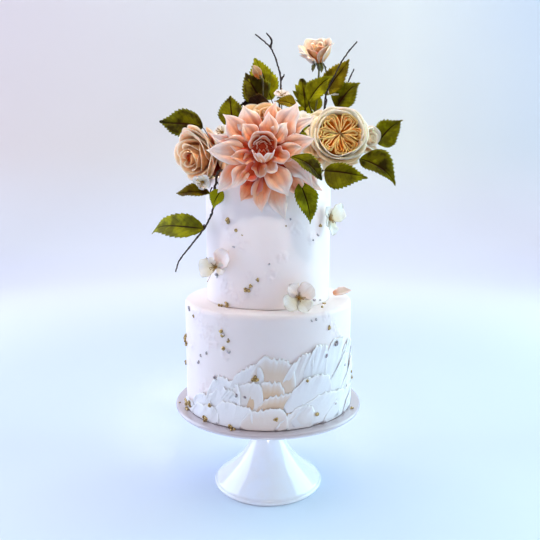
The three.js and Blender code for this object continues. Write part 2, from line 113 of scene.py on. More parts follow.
def objectPlace(tree):
    return addNode(tree, "ShaderNodeTexCoord").outputs["Object"]


def pointValue(tree, name):
    # a value that a mesh keeps for each of its points
    return addNode(tree, "ShaderNodeAttribute", attribute_name=name).outputs["Fac"]


def mixColour(share, first, second, blend="MIX"):
    values = {0: share, 6: first, 7: second}
    return linkedNode("ShaderNodeMix", values, data_type="RGBA", blend_type=blend).outputs[2]


def ramp(value, *stops, smooth=True):
    made = linkedNode("ShaderNodeValToRGB", {0: value})
    made.color_ramp.interpolation = "EASE" if smooth else "LINEAR"
    elements = made.color_ramp.elements
    while len(elements) < len(stops):
        elements.new(0.5)
    for element, (place, colour) in zip(elements, stops):
        element.position = place
        element.color = colour
    return made.outputs[0]


def geometryNode(tree, kind, values=None, **settings):
    return addNode(tree, "GeometryNode" + kind, values, **settings).outputs[0]


def newTree(name, kind, inputs, outputs):
    # an empty node group with named sockets: (kind, value) for each input, kind for each output
    tree = bpy.data.node_groups.new(name, kind)
    given = [(socketName, "INPUT", *about) for socketName, about in inputs.items()]
    made = [(socketName, "OUTPUT", socketKind, None) for socketName, socketKind in outputs.items()]
    for socketName, side, socketKind, value in given + made:
        socket = tree.interface.new_socket(socketName, in_out=side, socket_type="NodeSocket" + socketKind)
        if value is not None:
            socket.default_value = value
    return tree, tree.nodes.new("NodeGroupInput").outputs, tree.nodes.new("NodeGroupOutput").inputs


def useGroup(tree, group, values):
    return addNode(tree, "ShaderNodeGroup", values, node_tree=group).outputs


def newMaterial(name, **constants):
    # a principled material, its constant values set on the shader's own sockets
    material = bpy.data.materials.new(name)
    material.use_nodes = True
    tree = material.node_tree
    shader = tree.nodes["Principled BSDF"]
    for key, value in constants.items():
        shader.inputs[key.replace("_", " ")].default_value = value
    return material, tree, shader


def feed(shader, **links):
    for key, socket in links.items():
        shader.id_data.links.new(socket, shader.inputs[key.replace("_", " ")])


def finishSurface(shader, colour, cloud, roughness, height, bump):
    # roughness: how far it follows the cloud, and its least; bump: depth in metres, strength
    feed(shader, Base_Color=colour, Roughness=scaled(cloud, *roughness),
         Normal=bumpFrom(height, *bump))


def bumpFrom(height, distance, strength=1.0):
    values = {"Height": height, "Distance": distance, "Strength": strength}
    return linkedNode("ShaderNodeBump", values).outputs["Normal"]


def waves(rng, count, low, high):
    # a smooth random function of one or two coordinates, from a few sines
    pace = rng.uniform(low, high, (count, 2)) * rng.choice([-1, 1], (count, 2))
    phase = rng.uniform(0, fullTurn, count)

    def wave(a, b=0.0):
        return sum(np.sin(p[0] * a + p[1] * b + f) for p, f in zip(pace, phase)) / math.sqrt(count)

    return wave


def inScene(name, data):
    made = bpy.data.objects.new(name, data)
    bpy.context.scene.collection.objects.link(made)
    return made


def makeObject(name, vertices, faces, material, uv=None, attributes=None, merge=0.0):
    # one mesh object; faces is a list of index lists, uv one pair for each vertex
    mesh = bpy.data.meshes.new(name)
    mesh.from_pydata([tuple(v) for v in vertices], [], [tuple(f) for f in faces])
    mesh.materials.append(material)
    if uv is not None:
        layer = mesh.uv_layers.new(name="petal")
        corner = np.zeros(len(mesh.loops), np.int32)
        mesh.loops.foreach_get("vertex_index", corner)
        layer.data.foreach_set("uv", np.asarray(uv, np.float32)[corner].ravel())
    for key, values in (attributes or {}).items():
        made = mesh.attributes.new(key, "FLOAT", "POINT")
        made.data.foreach_set("value", np.asarray(values, np.float32))
    if merge:
        # the rows that shrink to a point become one point
        work = bmesh.new()
        work.from_mesh(mesh)
        bmesh.ops.remove_doubles(work, verts=work.verts, dist=merge)
        work.to_mesh(mesh)
        work.free()
    mesh.polygons.foreach_set("use_smooth", np.ones(len(mesh.polygons), bool))
    mesh.update()
    return inScene(name, mesh)


def finishPiece(piece, slot, *nodes):
    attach(piece, root)
    if nodes:
        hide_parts(*nodes)
    return piece


def bakeGeometry(name, base, tree, values):
    # runs a geometry tree on the base object and keeps its result as a plain mesh
    modifier = base.modifiers.new("build", "NODES")
    modifier.node_group = tree
    inputs = [item for item in tree.interface.items_tree if item.in_out == "INPUT"]
    identifiers = {item.name: item.identifier for item in inputs}
    for key, value in values.items():
        modifier[identifiers[key]] = value
    graph = bpy.context.evaluated_depsgraph_get()
    built = base.evaluated_get(graph)
    mesh = bpy.data.meshes.new_from_object(built, preserve_all_data_layers=True, depsgraph=graph)
    base.modifiers.remove(modifier)
    bpy.data.objects.remove(base)
    mesh.name = name
    return inScene(name, mesh)


def turnTo(faces, spin=0.0):
    # the turn that looks along faces with its own +Z, as in the frame's flowers
    quaternion = Vector((0, 0, 1)).rotation_difference(Vector(faces).normalized())
    return np.array(quaternion.to_matrix() @ Matrix.Rotation(spin, 3, "Z"))


def sheetAxes(rows, columns, start=-1):
    # the way up a sheet, from 0 to 1, and the way across it
    return np.linspace(0, 1, rows)[:, None], np.linspace(start, 1, columns)[None, :]


def gridOf(x, y, z):
    return np.stack(np.broadcast_arrays(x, y, z), -1)


def settle(points, place, turn):
    # points, or a grid of them, turned and then moved to a place
    flat = points.reshape(-1, 3) @ turn.T + np.array(place)
    return flat.reshape(points.shape)


class Sheets:
    # collects thin closed sheets, each given as a grid of points, into one mesh

    def __init__(self):
        self.vertices, self.faces, self.uv, self.tone, self.depth = [], [], [], [], []
        self.count = 0

    def add(self, grid, thickness, tone=0.5, depth=0.5, uv=None):
        rows, columns = grid.shape[:2]
        along = np.gradient(grid, axis=0)
        across = np.gradient(grid, axis=1)
        normal = np.cross(across, along)
        length = np.linalg.norm(normal, axis=2, keepdims=True)
        normal = normal / np.maximum(length, 1e-9)
        inside = np.zeros((rows, columns, 1))
        inside[1:-1, 1:-1] = 1
        offset = normal * inside * thickness / 2
        front, back = grid + offset, grid - offset
        index = np.arange(rows * columns).reshape(rows, columns) + self.count
        self.vertices.append(front.reshape(-1, 3))
        inner = index[1:-1, 1:-1].ravel() - self.count
        self.vertices.append(back.reshape(-1, 3)[inner])
        backIndex = index.copy()
        behind = np.arange(inner.size) + self.count + rows * columns
        backIndex[1:-1, 1:-1] = behind.reshape(rows - 2, columns - 2)
        for side, order in ((index, (0, 1, 2, 3)), (backIndex, (0, 3, 2, 1))):
            corners = side[:-1, :-1], side[:-1, 1:], side[1:, 1:], side[1:, :-1]
            self.faces.append(np.stack([corners[i] for i in order], -1).reshape(-1, 4))
        if uv is None:
            v, u = np.meshgrid(np.linspace(0, 1, rows), np.linspace(0, 1, columns), indexing="ij")
            uv = np.stack([u, v], -1)
        flat = uv.reshape(-1, 2)
        self.uv += [flat, flat[inner]]
        size = rows * columns + inner.size
        self.tone.append(np.full(size, tone))
        self.depth.append(np.full(size, depth))
        self.count += size

    def addFaces(self, vertices, faces, uv=None, tone=0.5, depth=0.5):
        vertices = np.asarray(vertices, float)
        self.vertices.append(vertices)
        self.faces.append([[i + self.count for i in face] for face in faces])
        self.uv.append(np.full((len(vertices), 2), [0.5, 0.0]) if uv is None else uv)
        self.tone.append(np.full(len(vertices), tone))
        self.depth.append(np.full(len(vertices), depth))
        self.count += len(vertices)

    def build(self, name, material, place=(0, 0, 0), turn=None):
        vertices = np.concatenate(self.vertices)
        if turn is not None:
            vertices = settle(vertices, place, turn)
        faces = [list(face) for group in self.faces for face in group]
        uv = np.concatenate(self.uv)
        attributes = {"tone": np.concatenate(self.tone), "depth": np.concatenate(self.depth)}
        return makeObject(name, vertices * mm, faces, material, uv, attributes, merge=0.02 * mm)


def tube(route, radii, sides=8):
    # a closed round tube along points, with rounded ends
    route = np.asarray(route, float)
    tangent = np.gradient(route, axis=0)
    tangent /= np.linalg.norm(tangent, axis=1, keepdims=True)
    side = np.cross(tangent[0], [0.3, 1, 0.2])
    side /= np.linalg.norm(side)
    angle = np.linspace(0, fullTurn, sides, endpoint=False)
    rings = []
    for point, direction, radius in zip(route, tangent, radii):
        side = side - direction * side.dot(direction)
        side /= np.linalg.norm(side)
        other = np.cross(direction, side)
        rings.append(point + radius * (np.outer(np.cos(angle), side) + np.outer(np.sin(angle), other)))
    ends = [route[0] - tangent[0] * radii[0] * 0.5], [route[-1] + tangent[-1] * radii[-1] * 0.5]
    vertices = np.concatenate([*rings, *ends])
    pairs = [(i, (i + 1) % sides) for i in range(sides)]
    faces = []
    for ring in range(len(route) - 1):
        a, b = ring * sides, (ring + 1) * sides
        faces += [[a + i, a + j, b + j, b + i] for i, j in pairs]
    last = (len(route) - 1) * sides
    for i, j in pairs:
        faces += [[len(vertices) - 2, j, i], [len(vertices) - 1, last + i, last + j]]
    return vertices, faces


def smoothRoute(places, count):
    # points at even steps along a smooth curve through the places
    places = np.asarray(places, float)
    steps = np.r_[0, np.cumsum(np.linalg.norm(np.diff(places, axis=0), axis=1))]
    ends = np.vstack([2 * places[0] - places[1], places, 2 * places[-1] - places[-2]])
    made = []
    for s in np.linspace(0, steps[-1], count):
        i = min(int(np.searchsorted(steps, s, side="right")) - 1, len(places) - 2)
        t = (s - steps[i]) / (steps[i + 1] - steps[i])
        p0, p1, p2, p3 = ends[i : i + 4]
        square, cube = 2 * p0 - 5 * p1 + 4 * p2 - p3, 3 * p1 - p0 - 3 * p2 + p3
        made.append(0.5 * (2 * p1 + (p2 - p0) * t + square * t**2 + cube * t**3))
    return np.array(made)


def latheGrid(profile, segments, upward=False):
    # a shape turned about Z from its half outline, downwards and outwards from the axis,
    # or upwards and back to where it starts; points on the axis become one vertex
    vertices, rings, faces = [], [], []
    for radius, height in profile:
        if radius < 1e-6:
            rings.append([len(vertices)] * segments)
            vertices.append((0, 0, height))
        else:
            rings.append([len(vertices) + i for i in range(segments)])
            turns = np.arange(segments) / segments * fullTurn
            vertices += [(radius * math.cos(t), radius * math.sin(t), height) for t in turns]
    pairs = list(zip(rings, rings[1:]))
    if upward:
        pairs = [(high, low) for low, high in [*pairs, (rings[-1], rings[0])]]
    for high, low in pairs:
        for i in range(segments):
            j = (i + 1) % segments
            face = list(dict.fromkeys([low[i], low[j], high[j], high[i]]))
            if len(face) > 2:
                faces.append(face)
    return np.array(vertices, float), faces


def beadGrid(radius, squash=0.7, segments=12, rings=7):
    turns = np.linspace(0, math.pi, rings)
    profile = [(radius * math.sin(t), radius * squash * math.cos(t)) for t in turns]
    profile[0], profile[-1] = (0.0, profile[0][1]), (0.0, profile[-1][1])
    return latheGrid(profile, segments)


lens = {
    "focalPixels": 639.16,
    "framePixels": 540,
    "axisPixel": 268.1,  # where the cake's upright axis stands in the frame
    "sensor": 36.0,
    "pitch": 10.03,
    "place": (0.0, -0.7703, 0.411),
}


def makeCamera():
    data = bpy.data.cameras.new("camera")
    data.sensor_width = lens["sensor"]
    data.lens = lens["focalPixels"] / lens["framePixels"] * lens["sensor"]
    data.shift_x = (lens["framePixels"] / 2 - lens["axisPixel"]) / lens["framePixels"]
    data.clip_start = 0.05
    camera = inScene("camera", data)
    camera.location = lens["place"]
    camera.rotation_euler = (math.radians(90 - lens["pitch"]), 0, 0)
    bpy.context.scene.camera = camera


stage = {
    "floorRadius": 1.5,
    "bendRadius": 1.3,
    "wallHeight": 1.6,
    "segments": 96,
    # the stage's colours are painted light and shade: darker behind the cake, where most light falls, and
    # at the sides (sideShade); paler far off and up the wall
    "frontColour": paint(218, 230, 240),
    "backColour": paint(200, 208, 234),  # behind the cake, where most light falls
    "farColour": paint(236, 241, 252),
    "sideShade": paint(240, 238, 255),
    # across the wall, from its left to its right as a share: place, colour; the lavender at the left and
    # the cyan at the right are the lamps' tints, painted on
    "wallColours": ((0.0, paint(230, 221, 223)), (0.2, paint(237, 232, 231)),
                    (0.75, paint(245, 253, 245)), (1.0, paint(214, 230, 240))),
    # where each colour takes over, in metres: along Y, away from the middle, up, to the sides, along Y
    "behind": (-0.14, 0.13),
    "far": (0.6, 1.4),
    "high": (0.0, 0.5),
    "aside": (0.3, 0.8),
    "near": (0.8, 1.7),
    "wallHalf": 1.4,
}


def makeStage():
    # a pale floor that bends up all round into a pale wall; its colours are painted light and shade
    floorRadius, bend = stage["floorRadius"], stage["bendRadius"]
    profile = [(0.0, 0.0), (0.5, 0.0), (1.0, 0.0), (floorRadius, 0.0)]
    for i in range(1, 17):
        turn = i / 16 * math.pi / 2
        profile.append((floorRadius + bend * math.sin(turn), bend * (1 - math.cos(turn))))
    profile.append((profile[-1][0], stage["wallHeight"]))
    material, tree, shader = newMaterial("paleStage", Roughness=0.75)
    place = objectPlace(tree)
    split = axes(place)
    away = linkedNode("ShaderNodeVectorMath", {0: place}, operation="LENGTH").outputs["Value"]
    aside = remap(split["X"], -stage["wallHalf"], stage["wallHalf"])
    drift = scaled(noise(place, 1.3, 2.0), 0.1, minus(aside, 0.05))
    wall = ramp(drift, *stage["wallColours"], smooth=False)
    behind = remap(split["Y"], *stage["behind"], smooth=True)
    ground = mixColour(behind, stage["frontColour"], stage["backColour"])
    ground = mixColour(remap(away, *stage["far"], smooth=True), ground, stage["farColour"])
    # painted shade: the floor turns darker and bluer towards its sides
    sideways = remap(mathNode("ABSOLUTE", split["X"]), *stage["aside"])
    shade = times(sideways, remap(split["Y"], *stage["near"], 1.0, 0.0))
    ground = mixColour(shade, ground, stage["sideShade"], blend="MULTIPLY")
    high = remap(split["Z"], *stage["high"], smooth=True)
    feed(shader, Base_Color=mixColour(high, ground, wall))
    makeObject("stage_floor", *latheGrid(profile, stage["segments"]), material)


lights = {
    # name: place, size, power, colour, place it looks at
    "lamps": {
        "left": ((-1.2, 0.34, 0.7), (1.0, 1.4), 15.8, paint(212, 232, 255), (0.0, 0.0, 0.27)),
        "right": ((1.2, 0.29, 0.7), (1.0, 1.4), 17.4, paint(204, 248, 255), (0.0, 0.0, 0.27)),
        # a lamp lights only what is before it, so these two light the floor and wall at the sides
        "leftAway": ((-1.13, 0.32, 0.7), (1.0, 1.4), 11.0, paint(236, 240, 255), (-2.4, 0.68, 1.13)),
        "rightAway": ((1.13, 0.27, 0.7), (1.0, 1.4), 12.0, paint(226, 248, 255), (2.4, 0.58, 1.13)),
        "above": ((0.0, 0.1, 2.2), (1.6, 1.6), 3.9, paint(255, 250, 248), (0.0, 0.0, 0.27)),
        "window": ((0.2, -1.6, 1.1), (0.3, 0.45), 0.24, paint(255, 232, 216), (0.0, 0.0, 0.27)),
        "flowers": ((0.08, -0.5, 1.3), (0.12, 0.12), 0.13, paint(255, 244, 232), (0.0, -0.03, 0.455)),
        "low": ((0.0, -0.9, 0.14), (0.1, 0.06), 0.018, paint(255, 242, 238), (0.0, 0.0, 0.045)),
        "backdrop": ((0.0, 0.5, 2.4), (2.6, 0.6), 31.0, paint(246, 246, 255), (0.0, 2.8, 1.0)),
    },
    "beams": {"flowers": 0.3, "low": 0.35},  # the two narrow ones, as angles
    # the room in front of the cake is dimmer and warmer than behind it
    "roomColours": (paint(255, 222, 214), paint(230, 238, 252)),
    "roomStrength": (0.112, 1.04),
}


def makeLights():
    for name, (place, size, power, colour, target) in lights["lamps"].items():
        data = bpy.data.lights.new(name + "_light", "AREA")
        data.shape = "RECTANGLE"
        data.size, data.size_y = size
        data.energy = power
        data.color = colour[:3]
        data.spread = lights["beams"].get(name, math.pi)
        lamp = inScene(name + "_light", data)
        lamp.location = place
        lamp.rotation_euler = (Vector(target) - Vector(place)).to_track_quat("-Z", "Y").to_euler()
        lamp.visible_camera = False
    world = bpy.data.worlds.new("softRoom")
    world.use_nodes = True
    tree = world.node_tree
    towards = axes(addNode(tree, "ShaderNodeTexCoord").outputs["Generated"])
    share = remap(towards["Y"], -0.6, 0.6)
    front, behind = lights["roomStrength"]
    given = tree.nodes["Background"].inputs
    tree.links.new(scaled(share, behind - front, front), given["Strength"])
    tree.links.new(mixColour(share, *lights["roomColours"]), given["Color"])
    bpy.context.scene.world = world
    bpy.context.scene.view_settings.view_transform = "Standard"


print("camera, stage and light")
makeCamera()
makeStage()
makeLights()


def veinEffect():
    # fine lines that run along a petal and fan out from its foot; for the petal's colour and bump
    tree, given, result = newTree("fineVeins", "ShaderNodeTree", {
        "Lines": ("Float", 40.0), "Waviness": ("Float", 0.03)},
        {"Lines Mask": "Float", "Along": "Float", "Edge": "Float"})
    split = axes(addNode(tree, "ShaderNodeUVMap", uv_map="petal").outputs["UV"])
    across, along = split["X"], split["Y"]
    drift = noise(objectPlace(tree), 90.0, 2.0)
    shifted = plus(across, times(drift, given["Waviness"]))
    stretched = addNode(tree, "ShaderNodeCombineXYZ", {
        "X": times(shifted, given["Lines"]), "Y": times(along, 1.6)})
    tree.links.new(noise(stretched.outputs[0], 1.0, 3.0), result["Lines Mask"])
    tree.links.new(along, result["Along"])
    side = times(mathNode("ABSOLUTE", minus(across, 0.5)), 2.0)
    rims = [mathNode("POWER", side, 3.0), mathNode("POWER", along, 5.0)]
    tree.links.new(mathNode("MAXIMUM", *rims), result["Edge"])
    return tree


def grainEffect():
    # soft unevenness in two sizes, for sugar paste and icing
    tree, given, result = newTree("pasteGrain", "ShaderNodeTree", {
        "Coarse": ("Float", 60.0), "Fine": ("Float", 900.0), "Fine Share": ("Float", 0.4)},
        {"Height": "Float", "Cloud": "Float"})
    place = objectPlace(tree)
    coarse = noise(place, given["Coarse"], 3.0)
    fine = noise(place, given["Fine"], 4.0)
    tree.links.new(plus(coarse, times(fine, given["Fine Share"])), result["Height"])
    tree.links.new(coarse, result["Cloud"])
    return tree


print("shared shader effects")
fineVeins = veinEffect()
pasteGrain = grainEffect()


def grainIn(tree, coarse, fine, fineShare):
    return useGroup(tree, pasteGrain, {"Coarse": coarse, "Fine": fine, "Fine Share": fineShare})


standLook = {
    "segments": 128,
    "footRadius": 68.5,
    "footLip": 5.0,
    "lipRound": (1.8, 2.2),  # half width and half height of the foot's rounded rim
    "neckRadius": 18.0,
    "neckHeight": 75.0,
    "flareRadius": 38.0,
    "flareHeight": 99.0,
    "flareSwell": (1.7, 1.5, 0.6),  # how the neck widens, how it rises, how the underside rises
    "plateRadius": 115.5,
    "plateTop": 111.0,
    "plateEdge": 5.5,
    "plateRings": (110.5, 108.0, 103.0, 80.0, 40.0),
    "wall": 6.5,
    "hollowHeight": 56.0,
    "colour": paint(232, 232, 236),
    "pooled": paint(232, 236, 246),  # where the glaze lies thicker
    # painted reflection and shade: the white plate is coloured lavender-grey between the heights below
    "plateShadeColour": paint(195, 184, 190),
    "plateShadeBand": (104.5, 109.5),  # heights between which the plate's colour takes over
}


def standProfile():
    # the half outline, from inside the foot round the plate and back down the hollow
    s = standLook
    neck, foot, lip, top = s["neckRadius"], s["footRadius"], s["footLip"], s["plateTop"]
    neckRise, flareRise = s["neckHeight"] - lip, s["flareHeight"] - s["neckHeight"]
    reach = foot - 1.5 - neck
    widening, rising, under = s["flareSwell"]

    def width(height):
        return neck + reach * (1 - max(height - lip, 0) / neckRise) ** 2

    out, up = s["lipRound"]
    points = [(width(0) - s["wall"], 0.0), (foot - out, 0.0)]
    for i in range(1, 7):
        turn = i / 6 * math.pi
        points.append((foot - out + out * math.sin(turn), up - up * math.cos(turn)))
    for i in range(0, 33):
        height = lip + i / 32 * neckRise
        points.append((width(height), height))
    for i in range(1, 15):
        share = i / 14
        swell = neck + (s["flareRadius"] - neck) * share**widening
        points.append((swell, s["neckHeight"] + flareRise * (1 - (1 - share) ** rising)))
    underside = top - s["plateEdge"]
    for i in range(1, 13):
        share = i / 12
        radius = s["flareRadius"] + (s["plateRadius"] - 3 - s["flareRadius"]) * share
        points.append((radius, s["flareHeight"] + (underside - s["flareHeight"]) * share**under))
    radius = s["plateEdge"] / 2
    for i in range(1, 10):
        turn = -math.pi / 2 + i / 9 * math.pi
        points.append((s["plateRadius"] - radius + radius * math.cos(turn),
                       top - radius + radius * math.sin(turn)))
    points += [(ring, top) for ring in s["plateRings"]]
    points += [(0.0, top), (0.0, s["hollowHeight"])]
    for i in range(9, 0, -1):
        height = (s["hollowHeight"] - 2) * i / 9
        points.append((max(width(height) - s["wall"], 2.0), height))
    return points


def glazeFinish():
    material, tree, shader = newMaterial("whiteGlaze", Coat_Weight=0.6, Coat_Roughness=0.03)
    grain = grainIn(tree, 35.0, 260.0, 0.15)
    tint = ramp(grain["Cloud"], (0.3, standLook["pooled"]), (0.65, standLook["colour"]))
    # painted reflection and shade on the plate
    low, high = standLook["plateShadeBand"]
    onPlate = remap(axes(objectPlace(tree))["Z"], low * mm, high * mm)
    feed(shader, Base_Color=mixColour(onPlate, tint, standLook["plateShadeColour"]),
         Roughness=scaled(grain["Cloud"], 0.08, 0.1), Normal=bumpFrom(grain["Height"], 0.0004, 0.35))
    return material


def makeStand():
    vertices, faces = latheGrid(standProfile(), standLook["segments"], upward=True)
    piece = makeObject("cake_stand_glazed", vertices * mm, faces, glazeFinish())
    finishPiece(piece, "glaze", "cake_stand")


print("stand")
makeStand()


# the white of the painted highlight along petal rims
rimHighlightWhite = paint(253, 244, 238)
icing = {
    "colour": paint(248, 236, 233),
    "shade": paint(234, 218, 217),  # darker tint: painted shade over the flaky patches, plus uneven tone at random
    "swell": 0.5,  # how far the hand-smoothed side wavers, mm
    "flake": 0.6,  # how far the flaky patches stand out, mm
    # shares of the grid's rows: where the side starts, where it turns over the edge, where the top starts
    "sideFrom": 0.04,
    "sideTo": 0.8,
    "topFrom": 0.86,
    "tiers": {
        "lower_tier": {"radius": 101.6, "height": 130.5, "edge": 5.0, "segments": 560, "rows": 160},
        "upper_tier": {"radius": 74.5, "height": 148.0, "edge": 4.0, "segments": 420, "rows": 168},
    },
    # flaky patches: angle from the front to the right in degrees, height above the tier's foot, reach
    "patches": {
        "lower_tier": [
            (-44, 108, 16), (-38, 96, 13), (-52, 122, 18), (-30, 122, 12), (-27, 84, 9), (-60, 84, 9),
            (-66, 60, 10), (46, 112, 10), (52, 96, 12), (60, 74, 14), (-46, 38, 14), (-68, 92, 9),
            (40, 126, 9), (110, 100, 18), (150, 80, 22), (-120, 96, 20), (-160, 60, 24), (178, 112, 15),
        ],
        "upper_tier": [
            (-24, 14, 13), (-38, 22, 15), (-10, 22, 9), (-30, 84, 13), (-22, 72, 10), (-40, 96, 11),
            (3, 40, 10), (24, 92, 11), (42, 78, 9), (12, 60, 8), (-16, 38, 8), (100, 40, 18),
            (150, 96, 20), (-110, 60, 20), (-150, 30, 16),
        ],
    },
}


def namedReach(tree):
    # how far each point of the points' mesh reaches
    return geometryNode(tree, "InputNamedAttribute", {"Name": "reach"}, data_type="FLOAT")


def liftedSurface(tree, geometry, lift):
    # the surface moved outwards along its own direction, and smooth shaded
    values = {0: geometryNode(tree, "InputNormal"), "Scale": lift}
    outward = addNode(tree, "ShaderNodeVectorMath", values, operation="SCALE").outputs[0]
    raised = geometryNode(tree, "SetPosition", {"Geometry": geometry, "Offset": outward})
    return geometryNode(tree, "SetShadeSmooth", {"Geometry": raised, "Shade Smooth": True})


def tierTree():
    # a round tier from a flat grid: underside, side, rounded edge and top, with swells and flakes
    tree, given, result = newTree("icedTier", "GeometryNodeTree", {
        "Radius": ("Float", 0.1), "Height": ("Float", 0.1), "Edge": ("Float", 0.005),
        "Base": ("Float", 0.0),
        "Segments": ("Int", 64), "Rows": ("Int", 32), "Swell": ("Float", 0.0005),
        "Flake": ("Float", 0.0006),
        "Seed": ("Float", 0.0), "Patches": ("Object", None), "Icing": ("Material", None)},
        {"Geometry": "Geometry"})
    grid = geometryNode(tree, "MeshGrid", {
        "Size X": 1.0, "Size Y": 1.0, "Vertices X": given["Segments"], "Vertices Y": given["Rows"]})
    flat = axes(geometryNode(tree, "InputPosition"))
    turn = times(plus(flat["X"], 0.5), fullTurn)
    share = plus(flat["Y"], 0.5)
    sideFrom, sideTo, topFrom = icing["sideFrom"], icing["sideTo"], icing["topFrom"]
    arc = remap(share, sideTo, topFrom, 0.0, math.pi / 2)
    lessEdge = times(given["Edge"], minus(1.0, mathNode("COSINE", arc)))
    flatTop = minus(given["Radius"], given["Edge"])
    inward = times(remap(share, topFrom, 1.0), flatTop)
    reach = times(remap(share, 0.0, sideFrom), given["Radius"])
    radius = minus(minus(reach, lessEdge), inward)
    straight = minus(given["Height"], given["Edge"])
    risen = times(remap(share, sideFrom, sideTo), straight)
    height = plus(risen, times(given["Edge"], mathNode("SINE", arc)))
    place = addNode(tree, "ShaderNodeCombineXYZ", {
        "X": times(radius, mathNode("COSINE", turn)),
        "Y": times(radius, mathNode("SINE", turn)),
        "Z": plus(height, given["Base"])}).outputs[0]
    wrapped = geometryNode(tree, "SetPosition", {"Geometry": grid, "Position": place})
    closed = geometryNode(tree, "MergeByDistance", {"Geometry": wrapped, "Distance": 0.00001})
    position = geometryNode(tree, "InputPosition")

    def seeded(scale, detail):
        values = {"Vector": position, "W": given["Seed"], "Scale": scale, "Detail": detail}
        return addNode(tree, "ShaderNodeTexNoise", values, noise_dimensions="4D").outputs[0]

    swell = times(minus(seeded(14.0, 1.0), 0.5), given["Swell"])
    spots = addNode(tree, "GeometryNodeObjectInfo", {"Object": given["Patches"]}).outputs["Geometry"]
    nearest = geometryNode(tree, "SampleNearest", {"Geometry": spots}, domain="POINT")
    spotPlace, spotReach = [
        geometryNode(tree, "SampleIndex", {"Geometry": spots, "Value": value, "Index": nearest},
                     data_type=kind)
        for value, kind in ((geometryNode(tree, "InputPosition"), "FLOAT_VECTOR"),
                            (namedReach(tree), "FLOAT"))]
    ends = {0: position, 1: spotPlace}
    away = linkedNode("ShaderNodeVectorMath", ends, operation="DISTANCE").outputs["Value"]
    ragged = plus(mathNode("DIVIDE", away, spotReach), seeded(120.0, 3.0))
    patch = remap(ragged, 1.55, 0.95, smooth=True)
    flakes = remap(seeded(230.0, 3.0), 0.47, 0.55, smooth=True)
    crumple = plus(times(flakes, 0.7), times(seeded(480.0, 2.0), 0.6))
    relief = times(patch, crumple)
    lift = plus(swell, times(relief, given["Flake"]))
    named = geometryNode(tree, "StoreNamedAttribute", {
        "Geometry": closed, "Name": "relief", "Value": relief}, data_type="FLOAT", domain="POINT")
    real = geometryNode(tree, "RealizeInstances", {"Geometry": liftedSurface(tree, named, lift)})
    painted = geometryNode(tree, "SetMaterial", {"Geometry": real, "Material": given["Icing"]})
    tree.links.new(painted, result["Geometry"])
    return tree


def icingFinish():
    material, tree, shader = newMaterial("whiteIcing", Subsurface_Weight=0.25, Subsurface_Scale=0.004,
                                         Subsurface_Radius=(1.0, 0.8, 0.7))
    grain = grainIn(tree, 45.0, 700.0, 0.25)
    relief = pointValue(tree, "relief")
    # painted shade: the darker tint follows the flaky patches' relief and stands for the shade in their
    # cracks; the cloud adds random unevenness
    hollow = scaled(relief, 0.3, times(grain["Cloud"], 0.25))
    finishSurface(shader, mixColour(hollow, icing["colour"], icing["shade"]),
                  grain["Cloud"], (0.2, 0.42), grain["Height"], (0.0006, 0.25))
    return material


def onSide(angle, height, radius, base):
    # a place on a round side: the angle runs from the front towards the right
    turn = math.radians(angle - 90)
    return (radius * math.cos(turn), radius * math.sin(turn), base + height)


def makeTiers():
    tree, material = tierTree(), icingFinish()
    for number, (name, tier) in enumerate(icing["tiers"].items()):
        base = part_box(name)[0].z
        flaky = icing["patches"][name]
        spots = [onSide(angle, height, tier["radius"], base / mm) for angle, height, reach in flaky]
        reaches = [reach * mm for angle, height, reach in flaky]
        spotObject = makeObject(name + "_patches", np.array(spots) * mm, [], material,
                                attributes={"reach": reaches})
        seedMesh = makeObject(name + "_seed", [(0, 0, 0)], [], material)
        piece = bakeGeometry(name + "_iced", seedMesh, tree, {
            "Radius": tier["radius"] * mm, "Height": tier["height"] * mm, "Edge": tier["edge"] * mm,
            "Base": base, "Segments": tier["segments"] + 1, "Rows": tier["rows"] + 1,
            "Swell": icing["swell"] * 2 * mm, "Flake": icing["flake"] * mm, "Seed": float(number),
            "Patches": spotObject, "Icing": material})
        bpy.data.objects.remove(spotObject)
        finishPiece(piece, "icing", name)


print("iced tiers")
makeTiers()


